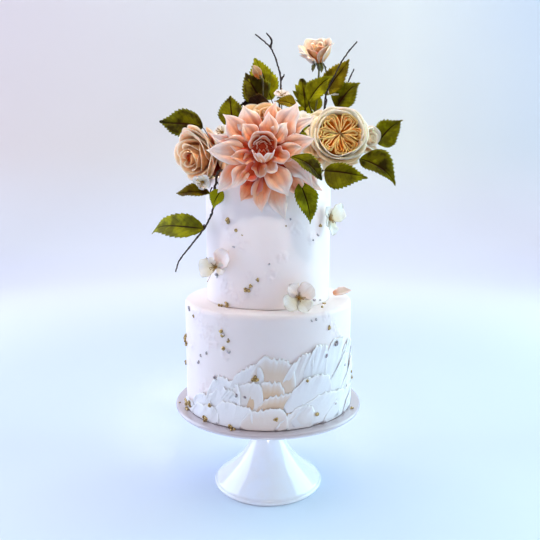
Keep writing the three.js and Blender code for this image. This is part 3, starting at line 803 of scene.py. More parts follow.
frills = {
    # sheets of torn wafer, by node: middle and width in degrees, low and high edge, lean to the right,
    # how far the torn edge stands out, depth of the pleats, warmth of the light caught in it;
    # the first number in a node's name is its layer on the cake
    "sheets": {
        "ruffle_1_1": [(-31, 26, 20, 60, 6, 2.6, 0.6, 0), (-14, 24, 34, 76, 4, 2.6, 0.5, 0.1),
                       (2, 30, 40, 85, 3, 2.8, 0.4, 0.75)],
        "ruffle_1_2": [(18, 20, 46, 88, 6, 3.6, 0.8, 0.2), (30, 17, 52, 97, 6, 3.4, 0.9, 0),
                       (43, 19, 48, 96, 9, 2.8, 0.8, 0), (56, 20, 38, 86, 12, 2.6, 0.7, 0)],
        "ruffle_1_3": [(70, 24, 26, 68, 12, 2.4, 0.6, 0), (86, 26, 20, 56, 10, 2.4, 0.6, 0),
                       (103, 24, 12, 42, 6, 2.2, 0.6, 0)],
        "ruffle_2_1": [(-50, 24, 6, 34, 6, 2.6, 0.8, 0), (-33, 26, 12, 46, 8, 3.2, 0.8, 0),
                       (-17, 26, 20, 57, 5, 3, 0.5, 0.25)],
        "ruffle_2_2": [(-2, 26, 22, 62, 3, 1, 0.3, 1), (6, 30, 16, 44, 3, 1.6, 0.3, 0.9),
                       (25, 33, 20, 61, 7, 5, 0.25, 0)],
        "ruffle_2_3": [(45, 28, 24, 70, 15, 3.2, 0.6, 0), (62, 28, 16, 58, 14, 2.8, 0.6, 0),
                       (80, 28, 10, 46, 12, 2.6, 0.6, 0), (99, 28, 8, 34, 8, 2.4, 0.6, 0)],
        "ruffle_3_1": [(-67, 22, 0, 16, 3, 2.4, 0.6, 0), (-47, 28, 0, 25, 5, 3, 0.6, 0),
                       (-25, 30, 0, 33, 5, 3.4, 0.6, 0)],
        "ruffle_3_2": [(-3, 30, 0, 29, 3, 3, 0.4, 0.4), (17, 26, 0, 27, 5, 3, 0.3, 0.15),
                       (32, 40, 2, 40, 16, 3.6, 0.3, 0)],
        "ruffle_3_3": [(53, 34, 0, 34, 14, 3, 0.6, 0), (74, 32, 0, 28, 10, 2.8, 0.6, 0),
                       (97, 30, 0, 24, 6, 2.6, 0.5, 0), (118, 24, 0, 15, 3, 2.8, 0.6, 0)],
    },
    "thickness": 0.45,
    "grid": (26, 72),  # rows and columns of a sheet
    "layerStep": 0.6,
    "outward": 0.4,
    "colour": paint(251, 248, 248),
    "fold": paint(231, 197, 164),  # warm light caught between the layers
    "shade": paint(234, 232, 240),
    # rim: painted highlight along the torn upper edge
    "rim": paint(255, 252, 251),
}


def frillSheet(rng, middle, width, low, high, lean, standsOut, pleats, radius, layer):
    # one torn sheet: its foot lies on the icing, its upper edge is ragged, wavy and stands out
    up, along = sheetAxes(*frills["grid"])
    ripple, sway, pleat = waves(rng, 3, 1.2, 3.4), waves(rng, 2, 0.8, 1.8), waves(rng, 4, 4.0, 11.0)
    tear, shred = waves(rng, 8, 5.0, 22.0), waves(rng, 6, 26.0, 60.0)
    shoulder = np.clip(1 - np.abs(along) ** rng.uniform(2.4, 4.0), 0, 1) ** 0.55
    ragged = np.abs(tear(along)) ** 0.8 * 2.4 + 0.6 * np.abs(shred(along))
    crest = shoulder * (high - low) * (1 + 0.10 * ripple(along)) - ragged * shoulder**0.3
    rise = low + np.maximum(crest, 0.5) * up
    angle = middle + width / 2 * along * (0.72 + 0.28 * up**0.7)
    angle = angle + lean * (up * shoulder) ** 1.4 + 0.8 * ripple(up * 2, along)
    curl = up**2.4 * (0.75 + 0.3 * ripple(along * 1.4, 1.0)) + 0.16 * up
    out = layer + frills["outward"] * standsOut * curl * (0.35 + 0.65 * shoulder)
    folded = pleat(along + 0.25 * lean / 10 * up, 0.3 * up)
    out = out + pleats * up * (0.5 + 0.5 * up) * folded + 0.5 * sway(along * 2, up * 2) * up
    out = out + 0.25 * up**4 * tear(along * 1.3, 2.0)
    out = radius + np.maximum(out, 0.25 + 0.5 * layer)
    turn = np.radians(angle - 90)
    return gridOf(out * np.cos(turn), out * np.sin(turn), np.maximum(rise, low))


def waferFinish():
    material, tree, shader = newMaterial("tornWafer", Subsurface_Weight=0.2, Subsurface_Scale=0.003,
                                         Subsurface_Radius=(1.0, 0.9, 0.85))
    veins = useGroup(tree, fineVeins, {"Lines": 22.0, "Waviness": 0.1})
    grain = grainIn(tree, 55.0, 520.0, 0.35)
    warm = pointValue(tree, "depth")
    body = mixColour(times(grain["Cloud"], 0.6), frills["colour"], frills["shade"])
    inner = remap(veins["Along"], 0.6, 1.0, 1.0, 0.25)
    folded = mixColour(times(warm, inner), body, frills["fold"])
    # painted highlight: the torn upper edge turns whiter
    rim = remap(veins["Along"], 0.86, 0.97)
    colour = mixColour(rim, folded, frills["rim"])
    height = scaled(veins["Lines Mask"], 0.5, grain["Height"])
    finishSurface(shader, colour, grain["Cloud"], (0.25, 0.4), height, (0.0006, 0.4))
    return material


def makeFrills():
    material = waferFinish()
    radius = icing["tiers"]["lower_tier"]["radius"]
    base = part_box("lower_tier")[0].z / mm
    rng = np.random.default_rng(41)
    for name, rows in frills["sheets"].items():
        row = int(name.split("_")[1]) - 1
        sheets = Sheets()
        for middle, width, low, high, lean, standsOut, pleats, warmth in rows:
            layer = 0.3 + frills["layerStep"] * row + rng.uniform(0, 0.5)
            grid = frillSheet(rng, middle, width, low, high, lean, standsOut, pleats, radius, layer)
            sheets.add(grid + np.array([0, 0, base + 0.3]), frills["thickness"], tone=rng.random(),
                       depth=warmth)
        finishPiece(sheets.build(name + "_torn", material), "wafer", name)


print("ruffles")
makeFrills()


def petalFinish(name, heart, body, edge, veins=34.0, translucence=0.3, rimHighlight=0.55, glow=None,
                edgeShare=0.8):
    # sugar petal: deeper at its foot, partly its own colour and partly painted shade, paler towards its
    # rim, with fine lines; each has its own tone. Its depth value is painted shade, and a white painted
    # highlight lines its rim
    material, tree, shader = newMaterial(name, Subsurface_Weight=translucence, Subsurface_Scale=0.0025,
                                         Subsurface_Radius=(1.0, 0.55, 0.4), Specular_IOR_Level=0.2)
    lines = useGroup(tree, fineVeins, {"Lines": veins, "Waviness": 0.05})
    grain = grainIn(tree, 130.0, 1400.0, 0.3)
    tone = pointValue(tree, "tone")
    depth = pointValue(tree, "depth")
    reach = plus(lines["Along"], scaled(tone, 0.3, -0.15))
    # painted shade: depth moves the colour towards the deep foot colour; below zero it makes the petal
    # paler, as painted light
    reach = minus(reach, times(depth, 0.6))
    reach = plus(reach, scaled(grain["Cloud"], 0.3, -0.15))
    stops = [(0.02, heart), (0.2, glow)] if glow else [(0.04, heart)]
    colour = ramp(reach, *stops, (0.46, body), (0.86, edge))
    pastFoot = remap(lines["Along"], 0.05, 0.5, 0.15, 1.0)
    paler = times(lines["Edge"], pastFoot)
    soft = times(paler, scaled(depth, -0.75, edgeShare), clamp=True)
    colour = mixColour(soft, colour, edge)
    # painted highlight: white along the rim, weaker where the petal is painted in shade
    rim = remap(paler, 0.6, 0.95, 0.0, rimHighlight)
    rim = times(rim, minus(1.0, depth, clamp=True))
    colour = mixColour(rim, colour, rimHighlightWhite)
    streak = times(minus(0.62, lines["Lines Mask"], clamp=True), 0.6)
    colour = mixColour(streak, colour, body, blend="MULTIPLY")
    height = scaled(grain["Height"], 0.4, lines["Lines Mask"])
    finishSurface(shader, colour, grain["Cloud"], (0.2, 0.42), height, (0.0005, 0.45))
    return material


def lanceOutline(share, foot=0.45, widest=0.5, point=1.7):
    # width of a pointed petal along its length
    rising = foot + (1 - foot) * np.sin(np.clip(share / widest, 0, 1) * math.pi / 2)
    past = np.clip((share - widest) / (1 - widest), 0, 1)
    return np.where(share < widest, rising, 1 - past**point)


def roundOutline(share, foot=0.22):
    # width of a round petal: it widens quickly and ends in a broad curve
    rising = foot + (1 - foot) * np.sin(np.clip(share / 0.62, 0, 1) * math.pi / 2)
    return rising * (1 - np.clip((share - 0.35) / 0.65, 0, 1) ** 3.2) ** 0.5


def spreadPetal(rng, length, halfWidth, rise, tipRise, cup, start=3.0, base=0.0, crease=0.7, wave=0.9,
                lip=0.8, side=0.0, outline=lanceOutline, rows=22, columns=15):
    # a petal that leaves the flower's middle sideways, along +X, and rises towards its tip
    u, v = sheetAxes(rows, columns)
    bend = np.radians(rise + (tipRise - rise) * u**0.8)
    step = length / (rows - 1)
    out = start + np.r_[0, np.cumsum(np.cos(bend[1:, 0]) * step)][:, None]
    up = base + np.r_[0, np.cumsum(np.sin(bend[1:, 0]) * step)][:, None]
    ripple, sway = waves(rng, 3, 2.0, 5.5), waves(rng, 3, 1.5, 3.5)
    width = halfWidth * outline(u) * (1 + 0.07 * sway(u * 6, 2 * np.sign(v)))
    lift = cup * width * (0.45 * np.abs(v) + 0.55 * v**2) * (1 + 0.8 * u**3)
    lift = lift - crease * np.exp(-((v / 0.15) ** 2)) * np.sin(math.pi * np.clip(u * 1.08, 0, 1))
    lift = lift + 0.22 * crease * np.cos(v * math.pi * 4) * np.sin(math.pi * u)
    lift = lift - lip * np.clip(np.abs(v) - 0.7, 0, 1) ** 1.5 * 6 * np.sin(math.pi * np.clip(u, 0, 1))
    lift = lift + wave * v**2 * ripple(u * 4, v) * u
    bow = side * u**2 * length + 0.03 * length * sway(u * 1.5) * u
    return gridOf(out - lift * np.sin(bend), width * v + bow, up + lift * np.cos(bend))


def turned(grid, degrees):
    turn = math.radians(degrees)
    spin = np.array([[math.cos(turn), -math.sin(turn), 0], [math.sin(turn), math.cos(turn), 0],
                     [0, 0, 1]])
    return grid @ spin.T


def wrappedPetal(rng, turn, span, radius, height, flare, base=0.0, narrow=0.3, shoulder=2.6, roll=1.0,
                 peak=0.0, wave=0.6, rows=18, columns=27):
    # a petal that wraps round the flower's axis like part of a cup, with its lip rolled out
    u, v = sheetAxes(rows, columns)
    ripple = waves(rng, 3, 1.2, 3.4)
    crest = 0.12 + 0.88 * (1 - np.abs(v) ** shoulder) ** 0.55
    share = u * crest
    swell = radius * (narrow + (1 - narrow) * np.sin(math.pi / 2 * np.clip(share * 1.6, 0, 1)))
    curl = np.clip((u - 0.78) / 0.22, 0, 1) ** 2
    spread = 0.6 + 0.4 * np.sin(math.pi / 2 * np.clip(share * 1.5, 0, 1))
    angle = math.radians(turn) + span / 2 * v * spread
    out = swell + flare * np.clip(share - 0.45, 0, 1) ** 1.8 * 2.9 + roll * curl * 1.4 + 0.05 * radius * v
    out = out + wave * ripple(v * 2.5, 3.0) * share**2
    up = base + height * share - roll * curl + peak * np.exp(-((v / 0.3) ** 2)) * u**5
    up = up + 0.8 * wave * ripple(v * 2.0) * share**3
    return gridOf(out * np.cos(angle), out * np.sin(angle), up)


def spiralHeart(rng, radius, height, rounds, base=0.0, rows=10, columns=90):
    # the rolled middle of a rose: one sheet that winds round itself
    u, v = sheetAxes(rows, columns, 0)
    ripple = waves(rng, 3, 1.0, 3.0)
    angle = v * rounds * fullTurn
    waist = 0.75 + 0.25 * np.sin(math.pi * np.clip(u * 0.8, 0, 1))
    out = (0.8 + (radius - 0.8) * v**0.85) * waist + 0.7 * v * u**4
    up = base + height * u * (1 - 0.10 * v) + 0.5 * ripple(angle * 0.6) * u
    return gridOf(out * np.cos(angle), out * np.sin(angle), up)


stemFoot = 390.4  # height of the cake's top, where stems and wires end
flowerPlaces = {
    # name: place, the way it looks, where its stem stands on the cake's top
    "dahlia": ((-5, -80, 417), (-0.02, -0.99, -0.12), (-5, -46)),
    "rose_left": ((-69, -8, 414), (-0.66, -0.73, -0.15), (-45, 2)),
    "garden_rose": ((77, -25, 431), (0.05, -0.97, 0.2), (50, -8)),
    "rose_right": ((106, -2, 431), (0.7, -0.7, 0.1), (62, 8)),
    "rose_rear": ((1, -30, 438), (0, -0.55, 0.83), (-2, -28)),
    "rose_back": ((4, 32, 408), (0.1, 0.75, 0.6), (4, 26)),
    "rosebud_top": ((58, -12, 517), (-0.15, -0.5, 0.85), (44, 2)),
    "rosebud_left": ((-9, -12, 500), (-0.45, -0.45, 0.77), (-9, 2)),
}


def placeFlower(name, sheets, material, slot="peach_petal"):
    place, faces, _ = flowerPlaces[name]
    finishPiece(sheets.build(name + "_petals", material, place, turnTo(faces)), slot, name)


dahlia = {
    # waviness and rolled lip of each ring's petals
    "rings": {"spread": (1.6, 1.2), "middle": (1.3, 1.1), "cups": (0.5, 0.9)},
    # petals: root, tip, half width, rise of the middle, cup, sideways bow, depth of colour (painted shade
    # above zero, painted light below it)
    "spread": [
        ((-18, 6, 1), (-60, 22, 2), 7, 5, 0.5, 0.05, -0.35),
        ((32, -16, 0), (66, -46, -2), 10, 4, 0.4, 0.06, -0.4),
        ((-24, -14, 0), (-53, -46, -2), 11, 4, 0.4, -0.06, -0.35),
        ((22, 14, 0), (57, 38, -2), 7.5, 4, 0.4, -0.06, -0.1),
        ((10, 18, 1), (15, 53, 0), 8.5, 5, 0.5, 0.06, 0.35),
        ((-8, 18, 1), (-21, 50, 0), 12.5, 5, 0.45, -0.06, -0.1),
        ((14, 14, 2), (38, 52, 2), 13.5, 6, 0.45, -0.06, -0.15),
        ((-14, 16, 2), (-43, 41, 1), 11, 6, 0.5, 0.06, -0.1),
        ((8, -30, 1), (23, -79, 0), 11, 3, 0.4, 0.07, 0),
        ((22, -16, 2), (44, -55, 2), 10.5, 5, 0.5, -0.06, 0),
        ((-8, -18, 3), (-27, -55, 3), 13.5, 6, 0.5, 0.06, 0.6),
        ((2, -20, 4), (-3, -69, 3), 11, 6, 0.6, -0.05, 0.15),
        ((17, 2, 4), (57, 13, 4), 12, 6, 0.5, 0.06, 0.15),
        ((-15, -3, 4), (-63, 3, 4), 13.5, 7, 0.45, -0.05, -0.05),
        ((20, -8, 5), (55, -41, 6), 8.5, 7, 0.75, 0.12, -0.4),
        ((-12, -13, 5), (-38, -40, 8), 9, 6, 0.8, -0.09, 0.15),
    ],
    "middle": [
        ((-7, 12, 5), (-22, 31, 7), 10.5, 5, 0.5, -0.05, 0.2),
        ((5, 14, 6), (7, 43, 7), 10, 5, 0.6, 0.05, 0.1),
        ((11, 12, 5), (27, 31, 7), 9.5, 5, 0.5, 0.06, 0.05),
        ((-14, 5, 6), (-42, 15, 7), 9, 5, 0.5, -0.05, 0.15),
        ((14, 0, 6), (43, 4, 8), 10, 5, 0.6, 0.06, 0.2),
        ((-12, -3, 7), (-36, -4, 10), 7.5, 4, 0.8, 0.05, 0.3),
        ((-6, -12, 7), (-27, -31, 11), 8.5, 4, 0.9, 0.06, 0.6),
        ((7, -15, 7), (27, -49, 9), 14.5, 7, 0.45, 0.05, -0.3),
    ],
    # bowls round the middle, with a broad lit rim
    "cups": [
        ((-4, -8, 7), (-4, -27, 15), 8, -3, 0.95, 0, 0.6),
        ((4, -9, 7), (15, -20, 15), 8.5, -3, 0.9, 0.03, 0.4),
        ((10, -1, 7), (29, -5, 16), 9.5, -3, 0.95, 0.05, 0.3),
        ((-8, -3, 7), (-22, -9, 13), 7, -2, 0.7, 0, 0.45),
    ],
    # curved petals that stand round the deep hollow: turn, span, reach, height, flare, depth of colour,
    # painted shade in the hollow
    "hood": [
        (88, 2.5, 14, 13, 2.8, 0.75), (146, 1.6, 12.8, 10, 2.4, 0.7), (30, 1.6, 12.4, 10, 2.4, 0.7),
        (104, 2.6, 9.4, 9, 0.8, 0.7), (62, 2, 8, 7, 0.3, 0.8), (150, 2, 6.8, 7, 0, 0.8),
        (95, 2.4, 4.8, 6, 0, 0.65), (10, 2.4, 3.4, 5, 0, 0.7),
    ],
    "hoodShape": {"narrow": 0.6, "roll": 0.6, "peak": 2.6, "wave": 0.9, "rows": 14, "columns": 25},
    "hollow": (0.5, 6, 7),
    # the under petal's depth paints shade into the gap between the others
    "under": ((12, -10, 1), (45, -37, 1), 12, 3, 0.4, 0, 0.6),  # one petal deep between the others
    # the closed bud in the middle leans up; its petals: turn, reach, height, closing, depth of colour,
    # partly painted shade
    "bud": {"place": (0.5, -8.5, 7.5), "faces": (0, 0.84, 0.54), "petals": [
        (90, 5, 11, -1.5, 0.8), (35, 6.5, 12, -1.5, 0.7), (145, 6.5, 12, -1.5, 0.7),
        (194, 10.6, 15.5, 1.6, 0.15), (346, 10.6, 15.5, 1.6, 0), (224, 10.2, 14.5, -0.6, 0.5),
        (316, 10.2, 14.5, -0.6, 0.5), (298, 9.8, 16, -0.9, 0.4), (246, 10.4, 17, -0.9, 0.4)],
        "shape": {"span": 1.6, "narrow": 0.4, "shoulder": 1.7, "roll": 0.2, "peak": 0.8, "wave": 0.15,
                  "rows": 16, "columns": 15}},
    # what closes the middle under the petals: radius, flatness, height
    "floors": [(15.5, 0.32, 3.5), (22, 0.13, 2.4)],
    "thickness": 0.8,
    "innerThickness": 0.7,
    "scale": 0.965,
    "heart": paint(206, 66, 14),
    "glow": paint(236, 128, 66),
    "body": paint(244, 170, 126),
    "edge": paint(250, 226, 214),
}


def ogeeOutline(share, foot=0.4, widest=0.44, point=1.55):
    # width of a broad petal with a drawn-out tip
    rising = foot + (1 - foot) * np.sin(np.clip(share / widest, 0, 1) * math.pi / 2) ** 1.1
    past = np.clip((share - widest) / (1 - widest), 0, 1)
    return np.where(share < widest, rising, (1 - past**1.9) ** point)


def bowlOutline(share):
    # width of a short bowl-like petal with a blunt tip
    return roundOutline(share, 0.55)


def sweptPetal(rng, root, tip, halfWidth, lift, cup, bow, wave=1.3, lip=1.0, outline=ogeeOutline):
    # a petal from its root to its tip: folded along its middle, wavy at its edges, bowed to one side
    u, v = sheetAxes(26, 17)
    start, end = np.array(root, float), np.array(tip, float)
    chord = end - start
    length = np.linalg.norm(chord)
    sideways = np.array([-chord[1], chord[0], 0]) / max(math.hypot(chord[0], chord[1]), 1e-6)
    bend = np.array([0, 0, 1.0]) * lift * 2 + sideways * bow * length * 2
    middle = start + chord * 0.5 + bend * 0.5
    point = (1 - u) ** 2 * start + 2 * u * (1 - u) * middle + u**2 * end
    sway, ripple, flutter = waves(rng, 2, 1.0, 2.2), waves(rng, 3, 2.0, 5.0), waves(rng, 3, 1.4, 3.2)
    point = point + sideways * (0.045 * length * sway(u * 2.4) * np.sin(math.pi * u) * 1.2)
    tangent = np.gradient(point, axis=0)
    tangent /= np.linalg.norm(tangent, axis=1, keepdims=True)
    across = np.cross([0, 0, 1.0], tangent)
    across /= np.linalg.norm(across, axis=1, keepdims=True)
    normal = np.cross(tangent, across)
    width = halfWidth * outline(u) * (1 + 0.13 * flutter(u * 4, 3 * np.sign(v)))
    rise = cup * width * (0.6 * np.abs(v) + 0.4 * v**2) * (1 - 0.35 * u)
    rise = rise + 0.10 * width * np.cos(v * math.pi * 3.2) * np.sin(math.pi * u)
    rolled = lip * np.clip(np.abs(v) - 0.62, 0, 1) ** 1.5 * 4.5 * np.sin(math.pi * u)
    rise = rise - rolled * (0.6 + 0.4 * ripple(u * 2, v))
    swing = np.sin(math.pi * np.clip(u * 0.9 + 0.05, 0, 1))
    rise = rise + wave * v**2 * ripple(u * 4, 1.5 * np.sign(v)) * swing
    offset = (width * v)[..., None] * across[:, None, :] + rise[..., None] * normal[:, None, :]
    return point[:, None, :] + offset


def makeDahlia():
    rng = np.random.default_rng(7)
    thickness, inner, scale = dahlia["thickness"], dahlia["innerThickness"], dahlia["scale"]
    sheets = Sheets()
    for ring, (wave, lip) in dahlia["rings"].items():
        outline = bowlOutline if ring == "cups" else ogeeOutline
        for *shape, depth in dahlia[ring]:
            petal = sweptPetal(rng, *shape, wave, lip, outline)
            sheets.add(petal * scale, thickness, rng.random(), depth)
    for *shape, depth in dahlia["hood"]:
        petal = wrappedPetal(rng, *shape, **dahlia["hoodShape"])
        sheets.add(petal + np.array(dahlia["hollow"]), inner, rng.random(), depth)
    bud = dahlia["bud"]
    lean = turnTo(bud["faces"])
    for turn, reach, height, closing, depth in bud["petals"]:
        petal = wrappedPetal(rng, turn, radius=reach, height=height, flare=closing, **bud["shape"])
        sheets.add(settle(petal, bud["place"], lean), inner, 0.6, depth)
    *shape, depth = dahlia["under"]
    sheets.add(sweptPetal(rng, *shape) * scale, thickness, 0.5, depth)
    for radius, flatness, height in dahlia["floors"]:
        middle, middleFaces = beadGrid(radius, flatness, 24, 9)
        # painted shade: the middle under the petals takes the deep foot colour
        sheets.addFaces(middle + [0, 0, height], middleFaces, tone=0.3, depth=0.8)
    material = petalFinish("coralPetal", dahlia["heart"], dahlia["body"], dahlia["edge"], veins=26.0,
                           glow=dahlia["glow"], rimHighlight=0.6)
    placeFlower("dahlia", sheets, material, "coral_petal")


roses = {
    # extra outer petals: turn, span, reach, height, flare
    "rose_left": {
        "radius": 25, "depth": 36, "petals": 13, "seed": 3, "thickness": 0.9, "openness": 0.75,
        "coreDepth": 1.5,
        "extra": [(-35, 2.4, 25, 28, 7), (-70, 2.2, 26, 31, 5), (-100, 2.2, 25, 26, 7),
                  (150, 1.6, 23, 18, 8),
                  (58, 2.2, 24, 32, 3), (30, 2.4, 25, 32, 4), (40, 2.2, 27, 30, 5), (18, 2.2, 28, 29, 8),
                  (-20, 1.9, 31, 22, 10), (-48, 1.9, 35, 17, 12), (-72, 1.8, 33, 20, 11),
                  (-34, 1.7, 38, 10, 13), (-58, 1.5, 40, 7, 13)],
        "heart": paint(190, 58, 0), "body": paint(247, 180, 116), "edge": paint(251, 210, 164),
    },
    "rose_right": {
        "radius": 17, "depth": 24, "petals": 9, "seed": 5, "thickness": 0.8, "openness": 0.9,
        "coreDepth": 0.8, "extra": [],
        "heart": paint(214, 150, 84), "body": paint(246, 218, 176), "edge": paint(252, 238, 218),
    },
    "rose_rear": {
        "radius": 26, "depth": 28, "petals": 11, "seed": 8, "thickness": 0.8, "openness": 1.1,
        "coreDepth": 0.8, "extra": [],
        "heart": paint(170, 80, 22), "body": paint(190, 128, 66), "edge": paint(208, 166, 114),
    },
    "rose_back": {
        "radius": 22, "depth": 26, "petals": 12, "seed": 12, "thickness": 0.8, "openness": 1,
        "coreDepth": 0.8, "extra": [],
        "heart": paint(222, 132, 74), "body": paint(242, 192, 156), "edge": paint(251, 224, 202),
    },
}


goldenTurn = 137.5
farPetal = {"roll": 1.8, "peak": 2.0, "wave": 0.8, "shoulder": 2.4}
# painted shade: the extra petals that flare far out are deeper in colour
farPetalShade = (0.09, 8)  # the extra petals get deeper in colour by this much for each mm of flare past 8


def makeRose(name, look):
    rng = np.random.default_rng(look["seed"])
    sheets = Sheets()
    radius, depth, count = look["radius"], look["depth"], look["petals"]
    middle = radius * 0.2
    # the rolled middle's coreDepth deepens its colour, partly painted shade
    sheets.add(spiralHeart(rng, middle, depth * 0.96, 2.4), look["thickness"], 0.2, look["coreDepth"])
    turn = rng.uniform(0, 360)
    for i in range(count):
        share = i / (count - 1)
        turn += goldenTurn + rng.uniform(-12, 12)
        reach = middle * 1.15 + (radius * 0.84 - middle) * share**1.1
        flare = look["openness"] * radius * (0.03 + 0.24 * share**1.5)
        height = depth * (1.0 - 0.15 * share**1.3)
        petal = wrappedPetal(rng, turn, 3.5 - 1.5 * share, reach, height, flare, roll=0.4 + 1.6 * share,
                             peak=1.2 * share, wave=0.2 + 0.7 * share, shoulder=4.0 - 1.4 * share)
        # the inner petals are deeper in colour, partly painted shade in the rose's middle
        sheets.add(petal, look["thickness"], rng.random(), 0.7 * (1 - share) ** 1.3)
    step, least = farPetalShade
    for turn, span, reach, height, flare in look["extra"]:
        petal = wrappedPetal(rng, turn, span, reach, height, flare, **farPetal)
        sheets.add(petal, look["thickness"], rng.random(), step * (flare - least))
    material = petalFinish(name + "Petal", look["heart"], look["body"], look["edge"], veins=44.0,
                           translucence=0.35, rimHighlight=0.35)
    placeFlower(name, sheets, material)


gardenRose = {
    "offset": (1.4, 1, 0),
    "discRadius": 23,
    "discDepth": 25,
    "thickness": 0.8,
    # ivory petals: turn, span, reach, height, flare, roll, depth of colour, painted shade on the lower
    # petals
    "cup": [
        (95, 2, 23.4, 29, 0.8, 0.9, 0.1), (160, 2, 23.6, 28.5, 0.8, 0.9, 0.1),
        (232, 2, 23.4, 28, 1, 0.9, 0.1), (305, 2, 23.6, 28.5, 1, 1, 0.1),
        (20, 2, 23.8, 29, 1, 1, 0.1), (60, 2.2, 25, 28, 1.4, 1.3, 0),
        (130, 2.1, 25, 27, 1.6, 1.3, 0), (200, 2, 25.2, 25, 2.2, 1.4, 0),
        (268, 2.2, 25.4, 25.5, 2.2, 1.4, 0.6), (345, 2.2, 25.2, 27.5, 1.6, 1.3, 0),
        (35, 1.9, 26.6, 25, 2.4, 1.6, 0), (105, 1.9, 26.8, 23.5, 2.4, 1.6, 0),
        (178, 1.7, 27, 21, 4.5, 1.8, 0.15), (246, 1.8, 27.5, 22, 4, 1.8, 0.7),
        (285, 1.9, 27.6, 22, 4.5, 1.8, 0.8), (325, 1.9, 27, 24, 3.2, 1.6, 0.4),
        (5, 1.8, 27.2, 23, 3.4, 1.6, 0),
    ],
    # loose petals that sweep out behind the cup: root, tip, half width, rise, cup, bow, depth of colour,
    # painted shade
    "sweep": [
        ((-16, -6, 5), (-41, -20, 8), 11, 5, 0.4, 0.05, 0.2),
        ((-14, -12, 5), (-32, -32, 8), 12, 5, 0.4, -0.05, 0.3),
        ((-4, -16, 4), (-15, -39, 6), 13, 5, 0.4, 0.05, 0.1),
        ((8, -16, 4), (12, -37, 4), 14, 5, 0.4, 0, 0.1),
        ((-16, 10, 4), (-34, 26, 4), 12, 5, 0.4, 0.05, 0),
        ((-18, 0, 4), (-38, 5, 5), 12, 5, 0.4, -0.05, 0.1),
        ((20, 14, 3), (32, 20, 3), 12, 4, 0.4, 0, 0),
    ],
    # parts of the disc: turn and half width in degrees, depth of colour, painted shade; each is filled
    # with nested folds
    "lobes": [(134, 33, -0.1), (184, 20, -0.15), (229, 24, 0.1), (274, 20, 0.4), (317, 22, 0.35),
              (1, 21, 0.35), (56, 31, 0.05)],
    # nested folds: share of the lobe's width, reach, nearest reach, lean
    "nest": [(1, 23.2, 1.5, 1.5), (0.68, 21.4, 3.5, 1.3), (0.36, 19, 6, 1)],
    "heart": paint(206, 146, 76),
    "body": paint(236, 208, 158),
    "edge": paint(248, 232, 200),
    # the folds' colour runs from foldHeart at their foot to foldEdge at their top edge: the dark gaps are
    # partly painted shade, the pale top edges partly painted light
    "foldHeart": paint(224, 118, 22),
    "foldBody": paint(250, 170, 72),
    "foldEdge": paint(255, 212, 132),
}


def nestedFold(rng, turn, half, outer, inner, lean, base, height, rows=10, columns=64):
    # one folded petal seen from above: a loop that opens towards the flower's middle and leans outwards
    u, s = sheetAxes(rows, columns)
    ripple, sway = waves(rng, 3, 2.0, 6.0), waves(rng, 2, 1.0, 2.0)
    reach = inner + (outer - inner) * (1 - np.abs(s) ** 4.0) ** 0.7
    opening = math.radians(half) * np.sin(math.pi / 2 * s)
    angle = math.radians(turn) + opening * (0.85 + 0.15 * reach / outer)
    angle = angle + 0.12 * sway(reach / outer * 2.5) * np.sin(math.pi * np.clip(reach / outer, 0, 1))
    x, y = reach * np.cos(angle), reach * np.sin(angle)
    centre = inner + 0.55 * (outer - inner)
    apart = np.stack([x - centre * math.cos(math.radians(turn)),
                      y - centre * math.sin(math.radians(turn))], -1)
    apart = apart / np.linalg.norm(apart, axis=-1, keepdims=True)
    push = lean * (u**1.5 - 0.6) + (0.55 * ripple(s * 3) + 0.2) * u**2
    up = base + height * u - 3.0 * (1 - np.clip(reach / 24.0, 0, 1)) ** 1.5
    up = up + 0.7 * ripple(s * 2.2, 2.0) * u
    up = up - 0.5 * lean * np.clip(u - 0.75, 0, 1) ** 2 * 16
    return gridOf(x + push * apart[..., 0], y + push * apart[..., 1], up)


def makeGardenRose():
    rng = np.random.default_rng(21)
    look = gardenRose
    seat, faces, _ = flowerPlaces["garden_rose"]
    turn = turnTo(faces)
    place = settle(np.array(look["offset"], float), seat, turn)
    cup = Sheets()
    for angle, span, reach, height, flare, roll, depth in look["cup"]:
        petal = wrappedPetal(rng, angle + rng.uniform(-5, 5), span, reach, height, flare, narrow=0.25,
                             roll=roll,
                             wave=0.35 + 0.12 * flare, peak=0.2 * flare, shoulder=3.0, columns=31)
        cup.add(petal, look["thickness"], rng.random(), depth)
    for *shape, depth in look["sweep"]:
        cup.add(sweptPetal(rng, *shape, 1.2, 1.0), look["thickness"], rng.random(), depth)
    ivory = petalFinish("ivoryPetal", look["heart"], look["body"], look["edge"], veins=46.0,
                        translucence=0.3, rimHighlight=0.5)
    finishPiece(cup.build("garden_rose_cup", ivory, place, turn), "pale_petal", "garden_rose")
    folds = Sheets()
    base = look["discDepth"] - 8.5
    for angle, half, depth in look["lobes"]:
        for share, outer, inner, lean in look["nest"]:
            fold = nestedFold(rng, angle + rng.uniform(-1.5, 1.5), half * share,
                              outer * rng.uniform(0.96, 1.0), inner, lean, base, rng.uniform(7.6, 9.4))
            folds.add(fold, 1.15, rng.random(), depth + rng.uniform(-0.15, 0.15))
    depth, radius = look["discDepth"], look["discRadius"]
    outline = [(0.0, depth - 7.5), (8, depth - 6.5), (16, depth - 6.5), (radius, depth - 8),
               (radius * 0.6, 3), (3, 0.5), (0.0, 0.0)]
    vertices, faceList = latheGrid(outline, 40)
    # painted shade: the disc under the folds shows its deep colour in the gaps between them
    folds.addFaces(vertices, faceList, depth=0.9)
    apricot = petalFinish("apricotFold", look["foldHeart"], look["foldBody"], look["foldEdge"],
                          veins=60.0, translucence=0.4, rimHighlight=0.0, edgeShare=0.15)
    finishPiece(folds.build("garden_rose_folds", apricot, place, turn), "apricot_petal")


